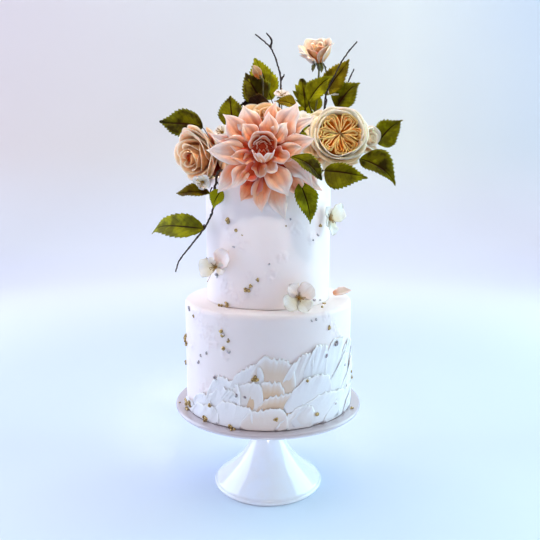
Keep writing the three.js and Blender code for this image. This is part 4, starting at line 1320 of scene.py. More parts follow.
rosebud = {
    "depth": 25,
    "thickness": 0.7,
    "closedBody": paint(158, 120, 82),
    "closedEdge": paint(192, 158, 122),
    "heart": paint(214, 118, 40),
    "body": paint(232, 174, 112),
    "edge": paint(236, 210, 184),
    # the closed bud: petals, first turn, then their shape
    "closedCount": 5,
    "closedTurn": 10,
    "closedShape": {"span": 2.4, "radius": 5.2, "height": 17, "flare": -6.0, "narrow": 0.45, "roll": 0.2,
                    "wave": 0.2, "rows": 14, "columns": 13},
    # the open one's petals: turn, span, reach, height, flare, roll, depth of colour, partly painted shade
    # on the inner petals
    "petals": [
        (30, 3, 4.5, 25, 0.8, 0.4, 0.7), (170, 2.8, 5.5, 25.5, 1, 0.6, 0.6),
        (290, 2.6, 6.8, 25, 1.2, 0.8, 0.55), (75, 2.5, 8.4, 27, 1.5, 1, 0.3),
        (225, 1.9, 9.4, 24, 2, 1.2, 0.4), (318, 2.3, 10.6, 25, 1.6, 1.2, 0.15),
        (120, 2.3, 11.4, 27, 3.5, 1.6, 0.1), (15, 2.5, 12.4, 26.5, 2.4, 1.4, 0),
        (340, 2.1, 13.4, 24, 2.6, 1.5, 0), (55, 2.2, 13, 25, 3, 1.6, 0),
        (180, 1.7, 11, 25, 7, 2, 0), (150, 1.7, 11.6, 22, 8.5, 2, 0),
        (205, 1.6, 10.4, 20, 8, 2, 0.05), (188, 1.2, 10, 15, 9, 1.6, 0),
    ],
}


def makeRosebuds():
    rng = np.random.default_rng(33)
    sheets = Sheets()
    sheets.add(spiralHeart(rng, 4.0, rosebud["depth"] * 0.84, 1.8), rosebud["thickness"], 0.3, 0.8)
    for turn, span, reach, height, flare, roll, depth in rosebud["petals"]:
        petal = wrappedPetal(rng, turn, span, reach, height * 0.88, flare, roll=roll,
                             wave=0.4 + 0.25 * flare,
                             peak=0.5, shoulder=3.4 - 0.15 * flare, rows=20, columns=29)
        sheets.add(petal, rosebud["thickness"], rng.random(), depth)
    material = petalFinish("budPetal", rosebud["heart"], rosebud["body"], rosebud["edge"], veins=40.0,
                           translucence=0.4, rimHighlight=0.5)
    placeFlower("rosebud_top", sheets, material)
    closed = Sheets()
    count = rosebud["closedCount"]
    for i in range(count):
        petal = wrappedPetal(rng, 360 / count * i + rosebud["closedTurn"], **rosebud["closedShape"])
        closed.add(petal, 0.6, rng.random(), 0.3)
    material = petalFinish("closedBudPetal", rosebud["heart"], rosebud["closedBody"],
                           rosebud["closedEdge"], veins=40.0)
    placeFlower("rosebud_left", closed, material)


print("dahlia")
makeDahlia()
print("roses and buds")
for roseName, roseLook in roses.items():
    makeRose(roseName, roseLook)
makeGardenRose()
makeRosebuds()


blossoms = {
    # name: place, the way it looks, petals, where its wire stands on the cake's top, if it has one
    # petals: angle from the right, length, half width, rise at foot and tip, blush
    "filler_left": ((-50, -52, 437), (-0.3, -0.8, 0.5), [
        (20, 9, 5, 40, 10, 0.1), (95, 9, 5, 36, 4, 0), (165, 9, 5, 40, 10, 0.3),
        (235, 8, 4.5, 46, 20, 0.1), (305, 8, 4.5, 46, 16, 0)], (-28, -30)),
    "filler_under_rose": ((-72, -55, 384), (-0.4, -0.8, -0.2), [
        (10, 11, 5.5, 30, 0, 0), (150, 12, 6.5, 24, -6, 0.2), (80, 9, 5, 50, 20, 0),
        (235, 9, 5, 40, 10, 0.5), (310, 10, 5.5, 30, 0, 0.1)], (-48, -36)),
    "filler_middle": ((38, -52, 450), (0.1, -0.8, 0.5), [
        (35, 10, 5, 34, 4, 0), (105, 11, 5.5, 34, 0, 0.1), (180, 10, 5, 36, 6, 0),
        (250, 9, 5, 44, 16, 0.2), (320, 10, 5, 40, 10, 0)], (28, -24)),
    "filler_rear": ((16, -3, 480), (0, -0.6, 0.8), [
        (10, 9, 5, 40, 10, 0.8), (80, 9, 5, 40, 12, 0.6), (160, 10, 5.5, 38, 10, 0.9),
        (230, 9, 5, 46, 18, 0.7), (300, 9, 5, 46, 18, 0.8)], (16, 2)),
    "filler_right": ((83, 9, 489), (0.1, -0.75, 0.6), [
        (40, 15, 7.5, 26, 0, 0), (95, 14, 7.5, 30, 4, 0), (165, 12, 6.5, 34, 4, 0.1),
        (228, 19, 8, 30, 4, 0), (300, 12, 6, 42, 12, 0.1)], (70, 12)),
    "filler_back": ((-46, 8, 412), (-0.5, 0.5, 0.7), [
        (20, 13, 6.5, 36, 6, 0.2), (92, 13, 6.5, 36, 6, 0), (165, 13, 6.5, 40, 10, 0.3),
        (236, 13, 6.5, 40, 10, 0.1), (308, 13, 6.5, 38, 8, 0)], (-38, 6)),
    "side_blossom_left": ((-59, -55, 288), (-0.5, -0.86, 0.1), [
        (160, 20, 11, 40, 12, 0), (14, 27, 12.5, 22, 4, 1), (322, 15, 7.5, 30, 0, 0.3),
        (78, 14, 5, 50, 30, 0.4)], None),
    "side_blossom_front": ((34, -78, 257), (0.25, -0.9, 0.3), [
        (56, 20, 11, 40, 8, 1), (142, 19, 9, 32, 2, 0.7), (220, 21, 11, 32, -4, 0),
        (312, 18, 10, 34, 0, 0.1)], None),
    "side_blossom_right": ((70, -39, 341), (0.75, -0.66, 0.1), [
        (80, 23, 11.5, 36, 4, 0), (172, 16, 7, 26, 0, 0.3), (262, 12, 6, 34, 0, 0.1),
        (318, 19, 8.5, 30, 0, 0)], None),
}
blossomLook = {
    "shape": {"cup": 0.22, "start": 0.6, "crease": 0.3, "wave": 1.1, "lip": 0.3, "rows": 18,
              "columns": 17},
    "stamens": 6,
    "beadRadius": 1.9,
    "threadRadius": 0.28,
    "knobRadius": 0.65,
    # long threads that reach past the petals: turn, reach, rise for each mm of reach
    "whiskers": {"side_blossom_left": [(100, 13, 0.4), (214, 19, 0.1)]},
    "rim": paint(214, 190, 158),
    "thickness": 0.5,
    "heart": paint(150, 108, 24),
    "cream": (paint(240, 224, 192), paint(246, 240, 228)),
    "blush": (paint(246, 208, 196), paint(252, 232, 226)),
}


def blossomFinish():
    # thin translucent petals, golden at their foot; tone turns them from cream to blush
    material, tree, shader = newMaterial("thinPetal", Subsurface_Weight=0.5, Subsurface_Scale=0.004,
                                         Subsurface_Radius=(1.0, 0.8, 0.6))
    lines = useGroup(tree, fineVeins, {"Lines": 26.0, "Waviness": 0.12})
    grain = grainIn(tree, 160.0, 900.0, 0.5)
    tone = pointValue(tree, "tone")
    reach = scaled(grain["Cloud"], 0.3, lines["Along"])
    tints = []
    for body, edge in (blossomLook["cream"], blossomLook["blush"]):
        tints.append(ramp(reach, (0.16, blossomLook["heart"]), (0.46, body), (1.1, edge)))
    colour = mixColour(tone, *tints)
    rim = remap(lines["Edge"], 0.72, 1.0, 0.0, 0.55)
    colour = mixColour(rim, colour, blossomLook["rim"])
    vein = times(minus(0.6, lines["Lines Mask"], clamp=True), 1.1)
    colour = mixColour(vein, colour, blossomLook["cream"][0], blend="MULTIPLY")
    height = scaled(grain["Height"], 0.8, lines["Lines Mask"])
    finishSurface(shader, colour, grain["Cloud"], (0.2, 0.35), height, (0.0007, 0.6))
    return material


def makeBlossoms():
    rng = np.random.default_rng(61)
    material = blossomFinish()
    look = blossomLook
    for name, (place, faces, petals, _) in blossoms.items():
        sheets = Sheets()
        for angle, length, halfWidth, rise, tipRise, blush in petals:
            petal = spreadPetal(rng, length, halfWidth, rise, tipRise, outline=roundOutline,
                                **look["shape"])
            sheets.add(turned(petal, angle), look["thickness"], blush, 0.0)
        bead, beadFaces = beadGrid(look["beadRadius"])
        sheets.addFaces(bead + [0, 0, 1.2], beadFaces, tone=0.0)
        stamens = [(rng.uniform(0, 360), rng.uniform(3.5, 6.0), 0.9) for _ in range(look["stamens"])]
        for angle, reach, up in stamens + look["whiskers"].get(name, []):
            around = math.radians(angle)
            tip = np.array([reach * math.cos(around), reach * math.sin(around), 2 + reach * up])
            thread = smoothRoute([(0, 0, 1), tip * [0.4, 0.4, 0.7], tip], 7)
            sheets.addFaces(*tube(thread, np.full(7, look["threadRadius"]), 6), tone=0.0)
            knob, knobFaces = beadGrid(look["knobRadius"], 1.0, 8, 5)
            sheets.addFaces(knob + tip, knobFaces, tone=0.0)
        finishPiece(sheets.build(name + "_petals", material, place, turnTo(faces)), "pale_petal", name)


ledgePetal = {
    "place": (79, -14, 247),
    "faces": (0.15, -0.4, 0.9),
    "turn": 20,
    "shape": {"length": 24, "halfWidth": 7.5, "rise": 8, "tipRise": 14, "cup": 0.5, "start": 0.0,
              "wave": 0.5},
    "thickness": 0.9,
    "tone": 1.0,
    "depth": -0.45,  # paler than the flower's own petals
}


def makeLedgePetal():
    look = ledgePetal
    petal = spreadPetal(np.random.default_rng(9), **look["shape"])
    sheets = Sheets()
    sheets.add(turned(petal, look["turn"]), look["thickness"], look["tone"], look["depth"])
    material = bpy.data.materials["coralPetal"]  # the same sugar as the dahlia
    piece = sheets.build("ledge_petal_fallen", material, look["place"], turnTo(look["faces"]))
    finishPiece(piece, "coral_petal", "ledge_petal")


print("blossoms")
makeBlossoms()
makeLedgePetal()


stalkLook = {
    "radius": 1.1,
    "wire": 0.7,
    "behind": (7, 6),  # how far a stem and a wire run straight back from their flower
    # the two stems that take a way of their own
    "ways": {"rosebud_top": [(58, -8, 500), (55, -4, 460)], "rosebud_left": [(-8, 2, 450)]},
    # sepals: count, length, half width, rise at foot and tip, distance from the axis
    "blossomSepals": (5, 6, 1.6, 20, -10, 1.5),
    "topSepals": (5, 14, 3.0, -35, -80, 2.5),
    "leftSepals": (4, 11, 2.2, 78, 88, 3.5),
    "roseSepals": (5, 20, 3.0, 10, -30, 3.0),
    "green": paint(108, 106, 30),
    "dark": paint(62, 48, 22),
}


def stalkFinish():
    material, tree, shader = newMaterial("greenStalk", Coat_Weight=0.1, Coat_Roughness=0.4)
    grain = grainIn(tree, 120.0, 900.0, 0.4)
    colour = ramp(grain["Cloud"], (0.35, stalkLook["dark"]), (0.65, stalkLook["green"]))
    finishSurface(shader, colour, grain["Cloud"], (0.3, 0.35), grain["Height"], (0.0005, 0.5))
    return material


def sepalRing(rng, sheets, place, faces, count, length, halfWidth, rise, tipRise, start):
    turn = turnTo(faces)
    for i in range(count):
        petal = spreadPetal(rng, length * rng.uniform(0.8, 1.1), halfWidth, rise, tipRise, 0.5,
                            start=start, crease=0.2, wave=0.5, lip=0.3, rows=14, columns=9)
        grid = turned(petal, 360 * (i + rng.uniform(-0.15, 0.15)) / count)
        sheets.add(settle(grid, place, turn), 0.6, rng.random(), 0.3)


def makeStalks():
    # stems and wires down to the cake's top, and the green cups under buds and blossoms
    rng = np.random.default_rng(71)
    look = stalkLook
    sheets = Sheets()

    def addStem(place, faces, foot, behind, sag, radius, count, sides, name=""):
        start, end = Vector(place), Vector((*foot, stemFoot))
        back = start - Vector(faces).normalized() * behind
        way = look["ways"].get(name, [(back + end) / 2 + Vector((0, 0, sag))])
        first = [start] if name == "rosebud_top" else [start, back]
        route = smoothRoute([tuple(point) for point in (*first, *way, end)], count)
        sheets.addFaces(*tube(route, np.full(count, radius), sides))

    stemBehind, wireBehind = look["behind"]
    for name, (place, faces, foot) in flowerPlaces.items():
        addStem(place, faces, foot, stemBehind, 3, look["radius"], 24, 8, name)
    for place, faces, _, foot in blossoms.values():
        if foot:
            addStem(place, faces, foot, wireBehind, 2, look["wire"], 20, 7)
            sepalRing(rng, sheets, place, faces, *look["blossomSepals"])
    top = np.array(flowerPlaces["rosebud_top"][0])
    bulb, bulbFaces = beadGrid(3.2, 1.3)
    sheets.addFaces(bulb + top + [0, 0, -1.5], bulbFaces)
    sepalRing(rng, sheets, top + [0, 0, 0.5], (0.05, -0.1, 1), *look["topSepals"])
    sepalRing(rng, sheets, *flowerPlaces["rosebud_left"][:2], *look["leftSepals"])
    sepalRing(rng, sheets, *flowerPlaces["rose_left"][:2], *look["roseSepals"])
    place, faces = blossoms["side_blossom_right"][:2]
    bract = turned(spreadPetal(rng, 10, 3.2, 20, 0, 0.3, start=0.5, crease=0.3, wave=0.4, lip=0.2), 190)
    sheets.add(settle(bract, place, turnTo(faces)), 0.6, 0.5, 0.3)
    finishPiece(sheets.build("flower_stalks", stalkFinish()), "green_leaf")


leafLook = {
    "veins": 7,
    "rows": 76,
    "columns": 17,
    "thickness": 0.7,
    "stalkRadius": 0.8,
    "green": (paint(102, 98, 0), paint(150, 148, 10), paint(52, 42, 0)),
    "brown": (paint(104, 86, 0), paint(144, 128, 12), paint(66, 38, 0)),
    "dark": (paint(48, 28, 0), paint(80, 62, 0), paint(26, 8, 0)),
    "veinColour": paint(48, 18, 6),
    "footShadeColour": paint(44, 18, 2),
}
# what a leaf has where its row below says nothing else; skew widens one side, hook bends the tip sideways
plainLeaf = {
    "kind": "green",
    "faces": (0, -0.8, 0.6),
    "arch": 0.1,
    "fold": 0.28,
    "skew": 0.0,
    "widest": 0.36,
    "teeth": 13,
    "bite": 1.0,
    # footShade: how strongly painted shade darkens the blade towards its foot
    "footShade": 0.0,
}
leaves = {
    # root of the stalk, foot and tip of the blade, half width, then what differs from a plain leaf
    "leaf_left": ((-50, -4, 398), (-76, -6, 445), (-129, -2, 450), 17,
                  {"fold": 0.2, "faces": (0, -0.9, 0.4)}),
    "leaf_upper_left": ((-30, -14, 394), (-40, -22, 442), (-44, -14, 481), 14.5,
                        {"fold": 0.35, "tone": 0.25}),
    "leaf_crown_right": ((11, 13, 456), (4, 5, 477), (-15, 8, 526), 18, {
        "arch": 0.06, "fold": 0.3, "skew": -0.28, "tone": 0.95}),
    "leaf_crown_left": ((11, 18, 452), (-8, -2, 471), (-27, -7, 506), 17.5, {"tone": 0.1, "footShade": 0.7}),
    "leaf_maroon": ((10, 13, 448), (3, -16, 468), (-34, -14, 470), 11,
                    {"faces": (0, -0.85, 0.5), "kind": "dark"}),
    "leaf_olive": ((41, -2, 440), (33, -24, 467), (7, -22, 474), 9,
                   {"faces": (0, -0.7, 0.7), "kind": "brown"}),
    "leaf_jagged": ((48, -6, 446), (43, -14, 466), (38, -11, 500), 10, {
        "fold": 0.5, "bite": 2.4, "teeth": 4, "tone": 0.3, "widest": 0.45}),
    "leaf_slant": ((51, -4, 462), (46, -24, 473), (70, -28, 502), 11.5, {"fold": 0.3, "tone": 0.7}),
    "leaf_small": ((54, 2, 450), (54, -3, 464), (60, -2, 483), 7, {}),
    "leaf_autumn": ((66, 3, 462), (67, 2, 482), (95, -2, 522), 13, {"kind": "brown"}),
    "leaf_upper_right": ((66, 6, 455), (80, 1, 468), (105, 0, 498), 16, {}),
    "leaf_right": ((92, 8, 424), (130, 5, 427), (155, -6, 455), 17, {"skew": 0.2, "tone": 0.6}),
    "leaf_right_low": ((70, -18, 402), (103, -41, 409), (143, -62, 385), 15, {
        "faces": (0.1, -0.85, 0.5), "skew": -0.25, "hook": 0.6, "tone": 0.4}),
    "leaf_under_rose": ((44, -48, 396), (62, -62, 396), (106, -80, 390), 15, {
        "faces": (0.1, -0.95, 0.3), "skew": 0.4, "hook": 0, "tone": 0.6, "footShade": 0.3}),
    "leaf_curled": ((14, -66, 398), (24, -95, 411), (57, -98, 388), 11, {
        "faces": (0.2, -0.7, 0.7), "arch": 0.16, "tone": 0.1, "widest": 0.5}),
    "leaf_hanging": ((30, -58, 394), (34, -80, 384), (47, -84, 340), 12,
                     {"faces": (0.3, -0.95, 0.1), "fold": 0.3, "tone": 0.8}),
    "leaf_brown": ((-62, -57, 378), (-65, -55, 371), (-106, -42, 369), 8, {"kind": "brown", "fold": 0.6}),
    "leaf_bract": ((-56, -62, 384), (-51, -64, 376), (-62, -63, 356), 8,
                   {"faces": (-0.2, -0.95, 0.1), "tone": 1.4}),
    "leaf_low_left": ((-72, -52, 336), (-73, -48, 331), (-149, 25, 322), 14,
                      {"faces": (-0.4, -0.8, 0.4), "hook": -0.2, "widest": 0.24}),
    "leaf_back_left": ((-22, 20, 394), (-38, 36, 410), (-82, 66, 426), 16, {"faces": (0, 0.3, 0.95)}),
    "leaf_back_low": ((-8, 40, 394), (-16, 58, 400), (-30, 106, 392), 15, {"faces": (0, 0.3, 0.95)}),
    "leaf_back_right": ((30, 20, 394), (46, 34, 408), (88, 62, 420), 16, {"faces": (0, 0.3, 0.95)}),
    "leaf_back_side": ((36, 28, 394), (44, 54, 400), (58, 98, 388), 14, {"faces": (0.2, 0.3, 0.9)}),
    "leaf_back_high": ((-14, 10, 394), (-18, 18, 424), (-30, 40, 476), 15, {"faces": (-0.2, 0.9, 0.4)}),
    "leaf_back_tall": ((36, 12, 394), (38, 22, 434), (48, 44, 486), 15, {"faces": (0.2, 0.9, 0.4)}),
}


def leafBlade(rng, length, halfWidth, leaf, twist):
    # a rose leaf along +Y that faces +Z: serrated rim, sunken ribs and a quilted blade between them
    u, v = sheetAxes(leafLook["rows"], leafLook["columns"])
    away, widest = np.abs(v), leaf["widest"]
    past = np.clip((u - widest) / (1 - widest), 0, 1)
    outline = np.where(u < widest, np.sin(math.pi / 2 * np.clip(u / widest, 0, 1)) ** 0.6,
                       (1 - past**1.85) ** 1.5)
    width = np.maximum(halfWidth * outline * (1 + leaf["skew"] * np.sign(v)), 0.5 * (1 - u))
    steps = leaf["teeth"] * u * (1 + 0.04 * np.sin(u * 9))
    tooth = (steps % 1.0) ** 1.1 * np.sin(math.pi * np.clip(u * 0.93 + 0.05, 0, 1)) ** 0.5
    reach = leaf["bite"] * (0.10 * halfWidth + 0.6) * tooth * away**6
    x = width * v + reach * np.sign(v)
    ripple = waves(rng, 3, 2.0, 6.0)
    y = length * u + 0.7 * reach
    phase = (u - 0.24 * away) * leafLook["veins"] * 1.2
    quilt = np.abs(np.sin(math.pi * phase)) ** 0.7 * np.minimum(away * 3, 1) * (1 - away**3)
    z = leaf["arch"] * length * np.sin(math.pi * u) + leaf["fold"] * away * width
    z = z + 0.05 * halfWidth * quilt
    z = z - 0.5 * np.exp(-((v * width / 0.9) ** 2))
    z = z + 0.10 * halfWidth * away**2 * ripple(u * 3, np.sign(v))
    z = z - 0.06 * length * u**3
    x = x + leaf["hook"] * length * np.clip(u - 0.6, 0, 1) ** 2
    turn = twist * (u - 0.3)
    grid = gridOf(x * np.cos(turn) - z * np.sin(turn), y, x * np.sin(turn) + z * np.cos(turn))
    uv = np.stack(np.broadcast_arrays(0.5 + 0.5 * v, u), -1)
    return grid, uv


def leafFinish(name, colours):
    body, light, dark = colours
    material, tree, shader = newMaterial(name, Subsurface_Weight=0.08, Subsurface_Scale=0.001,
                                         Subsurface_Radius=(0.6, 1.0, 0.2), Specular_IOR_Level=0.05)
    split = axes(addNode(tree, "ShaderNodeUVMap", uv_map="petal").outputs["UV"])
    away = mathNode("ABSOLUTE", scaled(split["X"], 2.0, -1.0))
    slanted = minus(split["Y"], times(away, 0.24))
    phase = times(slanted, leafLook["veins"] * 1.2)
    nearVein = mathNode("ABSOLUTE", mathNode("SINE", times(phase, math.pi)))
    sideVein = remap(nearVein, 0.22, 0.0, 0.0, 0.55)
    rib = remap(away, 0.11, 0.03)
    vein = mathNode("MAXIMUM", rib, sideVein)
    grain = grainIn(tree, 75.0, 900.0, 0.4)
    tone = pointValue(tree, "tone")
    share = plus(grain["Cloud"], scaled(tone, 0.4, -0.2))
    colour = ramp(share, (0.28, dark), (0.5, body), (0.75, light))
    # painted shade: a dark brown towards the blade's foot, for the shade the flowers cast there, as
    # strong as the leaf's footShade
    shadeStrength = pointValue(tree, "depth")
    footward = plus(scaled(split["Y"], -1.0, 0.5), grain["Cloud"])
    footShade = remap(footward, 0.35, 0.7)
    colour = mixColour(times(footShade, shadeStrength), colour, leafLook["footShadeColour"])
    rimMask = remap(away, 0.8, 1.0, 0.0, 0.5)
    colour = mixColour(rimMask, colour, light)
    colour = mixColour(vein, colour, leafLook["veinColour"])
    netting = addNode(tree, "ShaderNodeTexVoronoi", {
        "Vector": objectPlace(tree), "Scale": 900.0}, feature="DISTANCE_TO_EDGE")
    height = minus(plus(grain["Height"], netting.outputs["Distance"]), vein)
    finishSurface(shader, colour, grain["Cloud"], (0.3, 0.45), height, (0.0006, 0.6))
    return material


def makeLeaves():
    rng = np.random.default_rng(55)
    finishes = {kind: leafFinish(kind + "Leaf", leafLook[kind]) for kind in ("green", "brown", "dark")}
    for name, (stalkRoot, foot, tip, halfWidth, differs) in leaves.items():
        start, end, root = Vector(foot), Vector(tip), Vector(stalkRoot)
        twist = rng.uniform(-0.25, 0.25)
        leaf = {**plainLeaf, "hook": rng.uniform(-0.5, 0.5), **differs}
        along = (end - start).normalized()
        across = along.cross(Vector(leaf["faces"])).normalized()
        face = across.cross(along)
        grid, uv = leafBlade(rng, (end - start).length, halfWidth, leaf, twist)
        tone = rng.random()
        blade = settle(grid, foot, np.array([across, along, face]).T)
        sheets = Sheets()
        sheets.add(blade, leafLook["thickness"], leaf.get("tone", tone), leaf["footShade"], uv)
        # the stalk leaves its root along the flowers and meets the blade's rib
        bend = (root + start) / 2 + (start - root).length * 0.08 * face
        route = smoothRoute([stalkRoot, bend, foot, start + along * 2], 14)
        stalk = tube(route, np.linspace(1.0, 0.55, 14) * leafLook["stalkRadius"], 8)
        sheets.addFaces(*stalk, uv=np.full((len(stalk[0]), 2), 0.5), tone=0.3)
        slot = "green_leaf" if leaf["kind"] == "green" else "brown_leaf"
        finishPiece(sheets.build(name + "_blade", finishes[leaf["kind"]]), slot, name)


print("leaves")
makeLeaves()


twigLook = {
    "radius": 1.25,
    "sides": 9,
    "step": 2.2,  # mm between the points of a twig's route
    "bend": 0.22,  # how far it strays from side to side at each of them
    "taper": (1.15, 0.62),
    "knots": 0.35,
    "knotGap": 16,
    "bark": paint(36, 27, 22),
    "light": paint(74, 60, 50),
}
twigs = {
    "twig_tall": [
        [(8, 16, stemFoot), (13, 16, 440), (14, 15, 479), (15, 14, 500), (11, 13, 519), (2, 12, 538),
         (-15, 12, 552)],
        [(3, 12, 537), (4, 12, 545), (-2, 10, 553)], [(15, 14, 500), (19, 12, 507)],
    ],
    "twig_right": [[(52, 14, stemFoot), (62, 8, 445), (67, -4, 472), (68, -10, 486), (85, -12, 520),
                    (101, -10, 540)]],
    "twig_small": [[(58, 20, stemFoot), (82, 20, 450), (95, 20, 497), (102, 20, 514)]],
    "twig_hanging": [[(-42, -38, stemFoot), (-54, -54, 396), (-59, -58, 376), (-61, -57, 355),
                      (-70, -51, 335), (-87, -44, 313), (-102, -42, 294), (-107, -42, 280)]],
}


def barkFinish():
    material, tree, shader = newMaterial("darkBark", Specular_IOR_Level=0.2)
    place = objectPlace(tree)
    rings = noise(place, 420.0, 5.0)
    patches = noise(place, 90.0, 2.0)
    colour = ramp(times(rings, plus(patches, 0.5)),
                  (0.35, twigLook["bark"]), (0.7, twigLook["light"]))
    finishSurface(shader, colour, rings, (0.3, 0.55), rings, (0.0006, 0.8))
    return material


def makeTwigs():
    rng = np.random.default_rng(77)
    material = barkFinish()
    for name, shoots in twigs.items():
        sheets = Sheets()
        for shoot in shoots:
            length = sum(math.dist(a, b) for a, b in zip(shoot, shoot[1:]))
            count = max(8, int(length / twigLook["step"]))
            route = smoothRoute(shoot, count)
            route[1:-1] += rng.normal(0, twigLook["bend"], (count - 2, 3))
            thick = twigLook["radius"] * np.linspace(*twigLook["taper"], count)
            knots = np.zeros(count)
            for knot in np.arange(4, count - 2, max(4, int(twigLook["knotGap"] / twigLook["step"]))):
                knots[knot] = twigLook["knots"] * rng.uniform(0.5, 1.2)
            sheets.addFaces(*tube(route, thick * (1 + knots), twigLook["sides"]))
        finishPiece(sheets.build(name + "_bark", material), "twig", name)


print("twigs")
makeTwigs()


print("stalks")
makeStalks()


nuggets = {
    # clumps on the tiers' sides: angle from the front to the right, height, grains, spread, size in mm
    "gilt": [
        ("upper_tier", [
            (-36.4, 98.7, 5, 1.8, 2), (-28.1, 88.9, 3, 1.2, 1.5), (-22.8, 84.1, 2, 0.9, 1),
            (15.3, 94.6, 1, 0.5, 1.3), (-8.7, 35.1, 4, 1.8, 1.3), (-14.3, 27.3, 4, 2, 1.5),
            (-17.9, 22.5, 6, 2.2, 2), (52.4, 92.7, 4, 1.6, 2), (-39.6, 2.2, 7, 3, 2)]),
        ("lower_tier", [
            (-57.3, 120, 3, 2, 1.2), (-30.5, 111.3, 6, 2.2, 2.1), (-29.5, 105.4, 4, 1.6, 1.9),
            (-25.1, 100.5, 4, 2.4, 1.4), (-29, 91.1, 2, 0.8, 1.6), (-80.1, 82.4, 6, 3, 1.9),
            (-73.9, 78, 5, 3, 1.8), (-76, 88, 4, 2.5, 1.7), (-84, 50, 5, 2.5, 1.7),
            (-8.2, 60.5, 9, 2.6, 2.1), (42.2, 111.4, 5, 1.6, 2.2), (76.1, 42.7, 4, 1.6, 1.8),
            (24.7, 55, 3, 1.2, 1.6), (31.8, 13.5, 4, 1.4, 1.9), (5.2, 14.5, 6, 1.8, 2),
            (-71.5, 6, 12, 4, 2.2), (-64, 9, 8, 3, 2), (-44.3, 2.5, 8, 3, 2),
            (-23.6, 1.8, 5, 3, 1.6), (-39.1, 20.5, 4, 1.6, 1.7), (84, 30, 4, 2, 1.7),
            (118, 70, 6, 2.6, 2), (140, 46, 5, 2.2, 1.9), (170, 88, 6, 2.6, 2),
            (-150, 60, 6, 2.6, 2), (-120, 100, 5, 2.2, 1.9), (-108, 20, 6, 2.6, 2)]),
        ("upper_tier", [
            (110, 30, 5, 2.2, 1.9), (150, 70, 5, 2.2, 1.9), (-110, 50, 5, 2.2, 1.9),
            (-160, 100, 5, 2.2, 1.9)]),
    ],
    "grey": [
        ("upper_tier", [
            (48.7, 81.7, 3, 1.4, 1.5), (42.8, 76.7, 2, 1.2, 1.1), (-51.2, 35.1, 4, 1.6, 1.9),
            (19.3, 101.3, 2, 1, 1), (1.2, 52.6, 2, 1, 1), (45.1, 6.9, 3, 1.4, 1.4),
            (-30, 70, 2, 2.2, 0.9)]),
        ("lower_tier", [
            (-64.1, 126, 4, 2.4, 1.3), (-24.9, 87.4, 3, 1.4, 1.4), (-43.2, 82, 3, 1.6, 1.5),
            (-49.6, 76.2, 2, 1.6, 1.2), (-51.6, 67.1, 3, 1.2, 1.5), (49.1, 91, 5, 2, 2),
            (27.8, 123.1, 2, 1.2, 1), (31.3, 123.2, 2, 1.2, 1.2), (39.8, 80.1, 3, 1.8, 1.4),
            (-35, 55, 4, 2, 1.6), (-14.6, 38.5, 2, 1.2, 1.3), (-20.1, 38.8, 2, 1.4, 1.4),
            (60, 60, 3, 1.8, 1.4), (130, 90, 4, 2, 1.7), (-135, 70, 4, 2, 1.7)]),
        ("upper_tier", [
            (130, 90, 4, 2, 1.7), (-130, 80, 4, 2, 1.7)]),
    ],
    "pearl": [
        ("upper_tier", [
            (-36, 95.5, 1, 0, 1.2), (-52, 32.5, 1, 0, 1.5), (54, 5, 1, 0, 1.6)]),
        ("lower_tier", [
            (-28.8, 107.2, 2, 1.6, 1.4), (48.6, 19, 1, 0, 2), (-70, 3, 2, 2, 1.5),
            (5.6, 16.5, 1, 0, 1.4), (158, 66, 1, 0, 1.8), (-140, 64, 1, 0, 1.8)]),
    ],
    # grains lying on the plate and on the ledge: x, y, height, grains, spread, size
    "loose": [
        (-108.7, -19.7, 111, 2, 1.4, 1.3), (101.2, -38.5, 111, 5, 1.6, 1.9),
        (-71.2, -74, 111, 6, 3, 1.7), (-97.4, -40, 111, 7, 4, 1.7), (-40, -98, 111, 5, 3.2, 1.4),
        (-54, -52.5, 241.9, 6, 3, 1.8), (66, -42, 241.9, 3, 1.6, 1.5), (62, -60, 241.9, 2, 1.6, 1.3),
        (60, 88, 111, 4, 2, 1.6), (-30, 103, 111, 4, 2, 1.6),
    ],
    "lumps": {"gilt": 0.5, "grey": 0.4, "pearl": 0.0},  # how rough a grain of each kind is
    "divisions": 3,
    "gold": (paint(214, 184, 122), paint(116, 88, 44)),
    "greyColour": (paint(206, 198, 200), paint(130, 120, 124)),
    "scale": 1.12,
    "pearlColour": paint(240, 236, 238),
}


def nuggetTree():
    # a rough lump on every point, turned at random, its size taken from the point
    tree, given, result = newTree("scatteredNuggets", "GeometryNodeTree", {
        "Geometry": ("Geometry", None), "Detail": ("Int", 3), "Roughness": ("Float", 0.4),
        "Seed": ("Int", 0), "Finish": ("Material", None)}, {"Geometry": "Geometry"})

    def drawn(low, high, seed):
        values = {"Min": (low,) * 3, "Max": (high,) * 3, "Seed": seed}
        return addNode(tree, "FunctionNodeRandomValue", values, data_type="FLOAT_VECTOR").outputs[0]

    lump = geometryNode(tree, "MeshIcoSphere", {"Radius": 1.0, "Subdivisions": given["Detail"]})
    turn = drawn(0.0, fullTurn, given["Seed"])
    shape = {0: drawn(0.75, 1.2, plus(given["Seed"], 7)), "Scale": namedReach(tree)}
    scale = addNode(tree, "ShaderNodeVectorMath", shape, operation="SCALE").outputs[0]
    placed = geometryNode(tree, "InstanceOnPoints", {
        "Points": given["Geometry"], "Instance": lump, "Rotation": turn, "Scale": scale})
    real = geometryNode(tree, "RealizeInstances", {"Geometry": placed})
    bumps = noise(geometryNode(tree, "InputPosition"), 420.0, 3.0)
    lift = times(minus(bumps, 0.5), times(given["Roughness"], 0.004))
    rough = liftedSurface(tree, real, lift)
    painted = geometryNode(tree, "SetMaterial", {"Geometry": rough, "Material": given["Finish"]})
    tree.links.new(painted, result["Geometry"])
    return tree


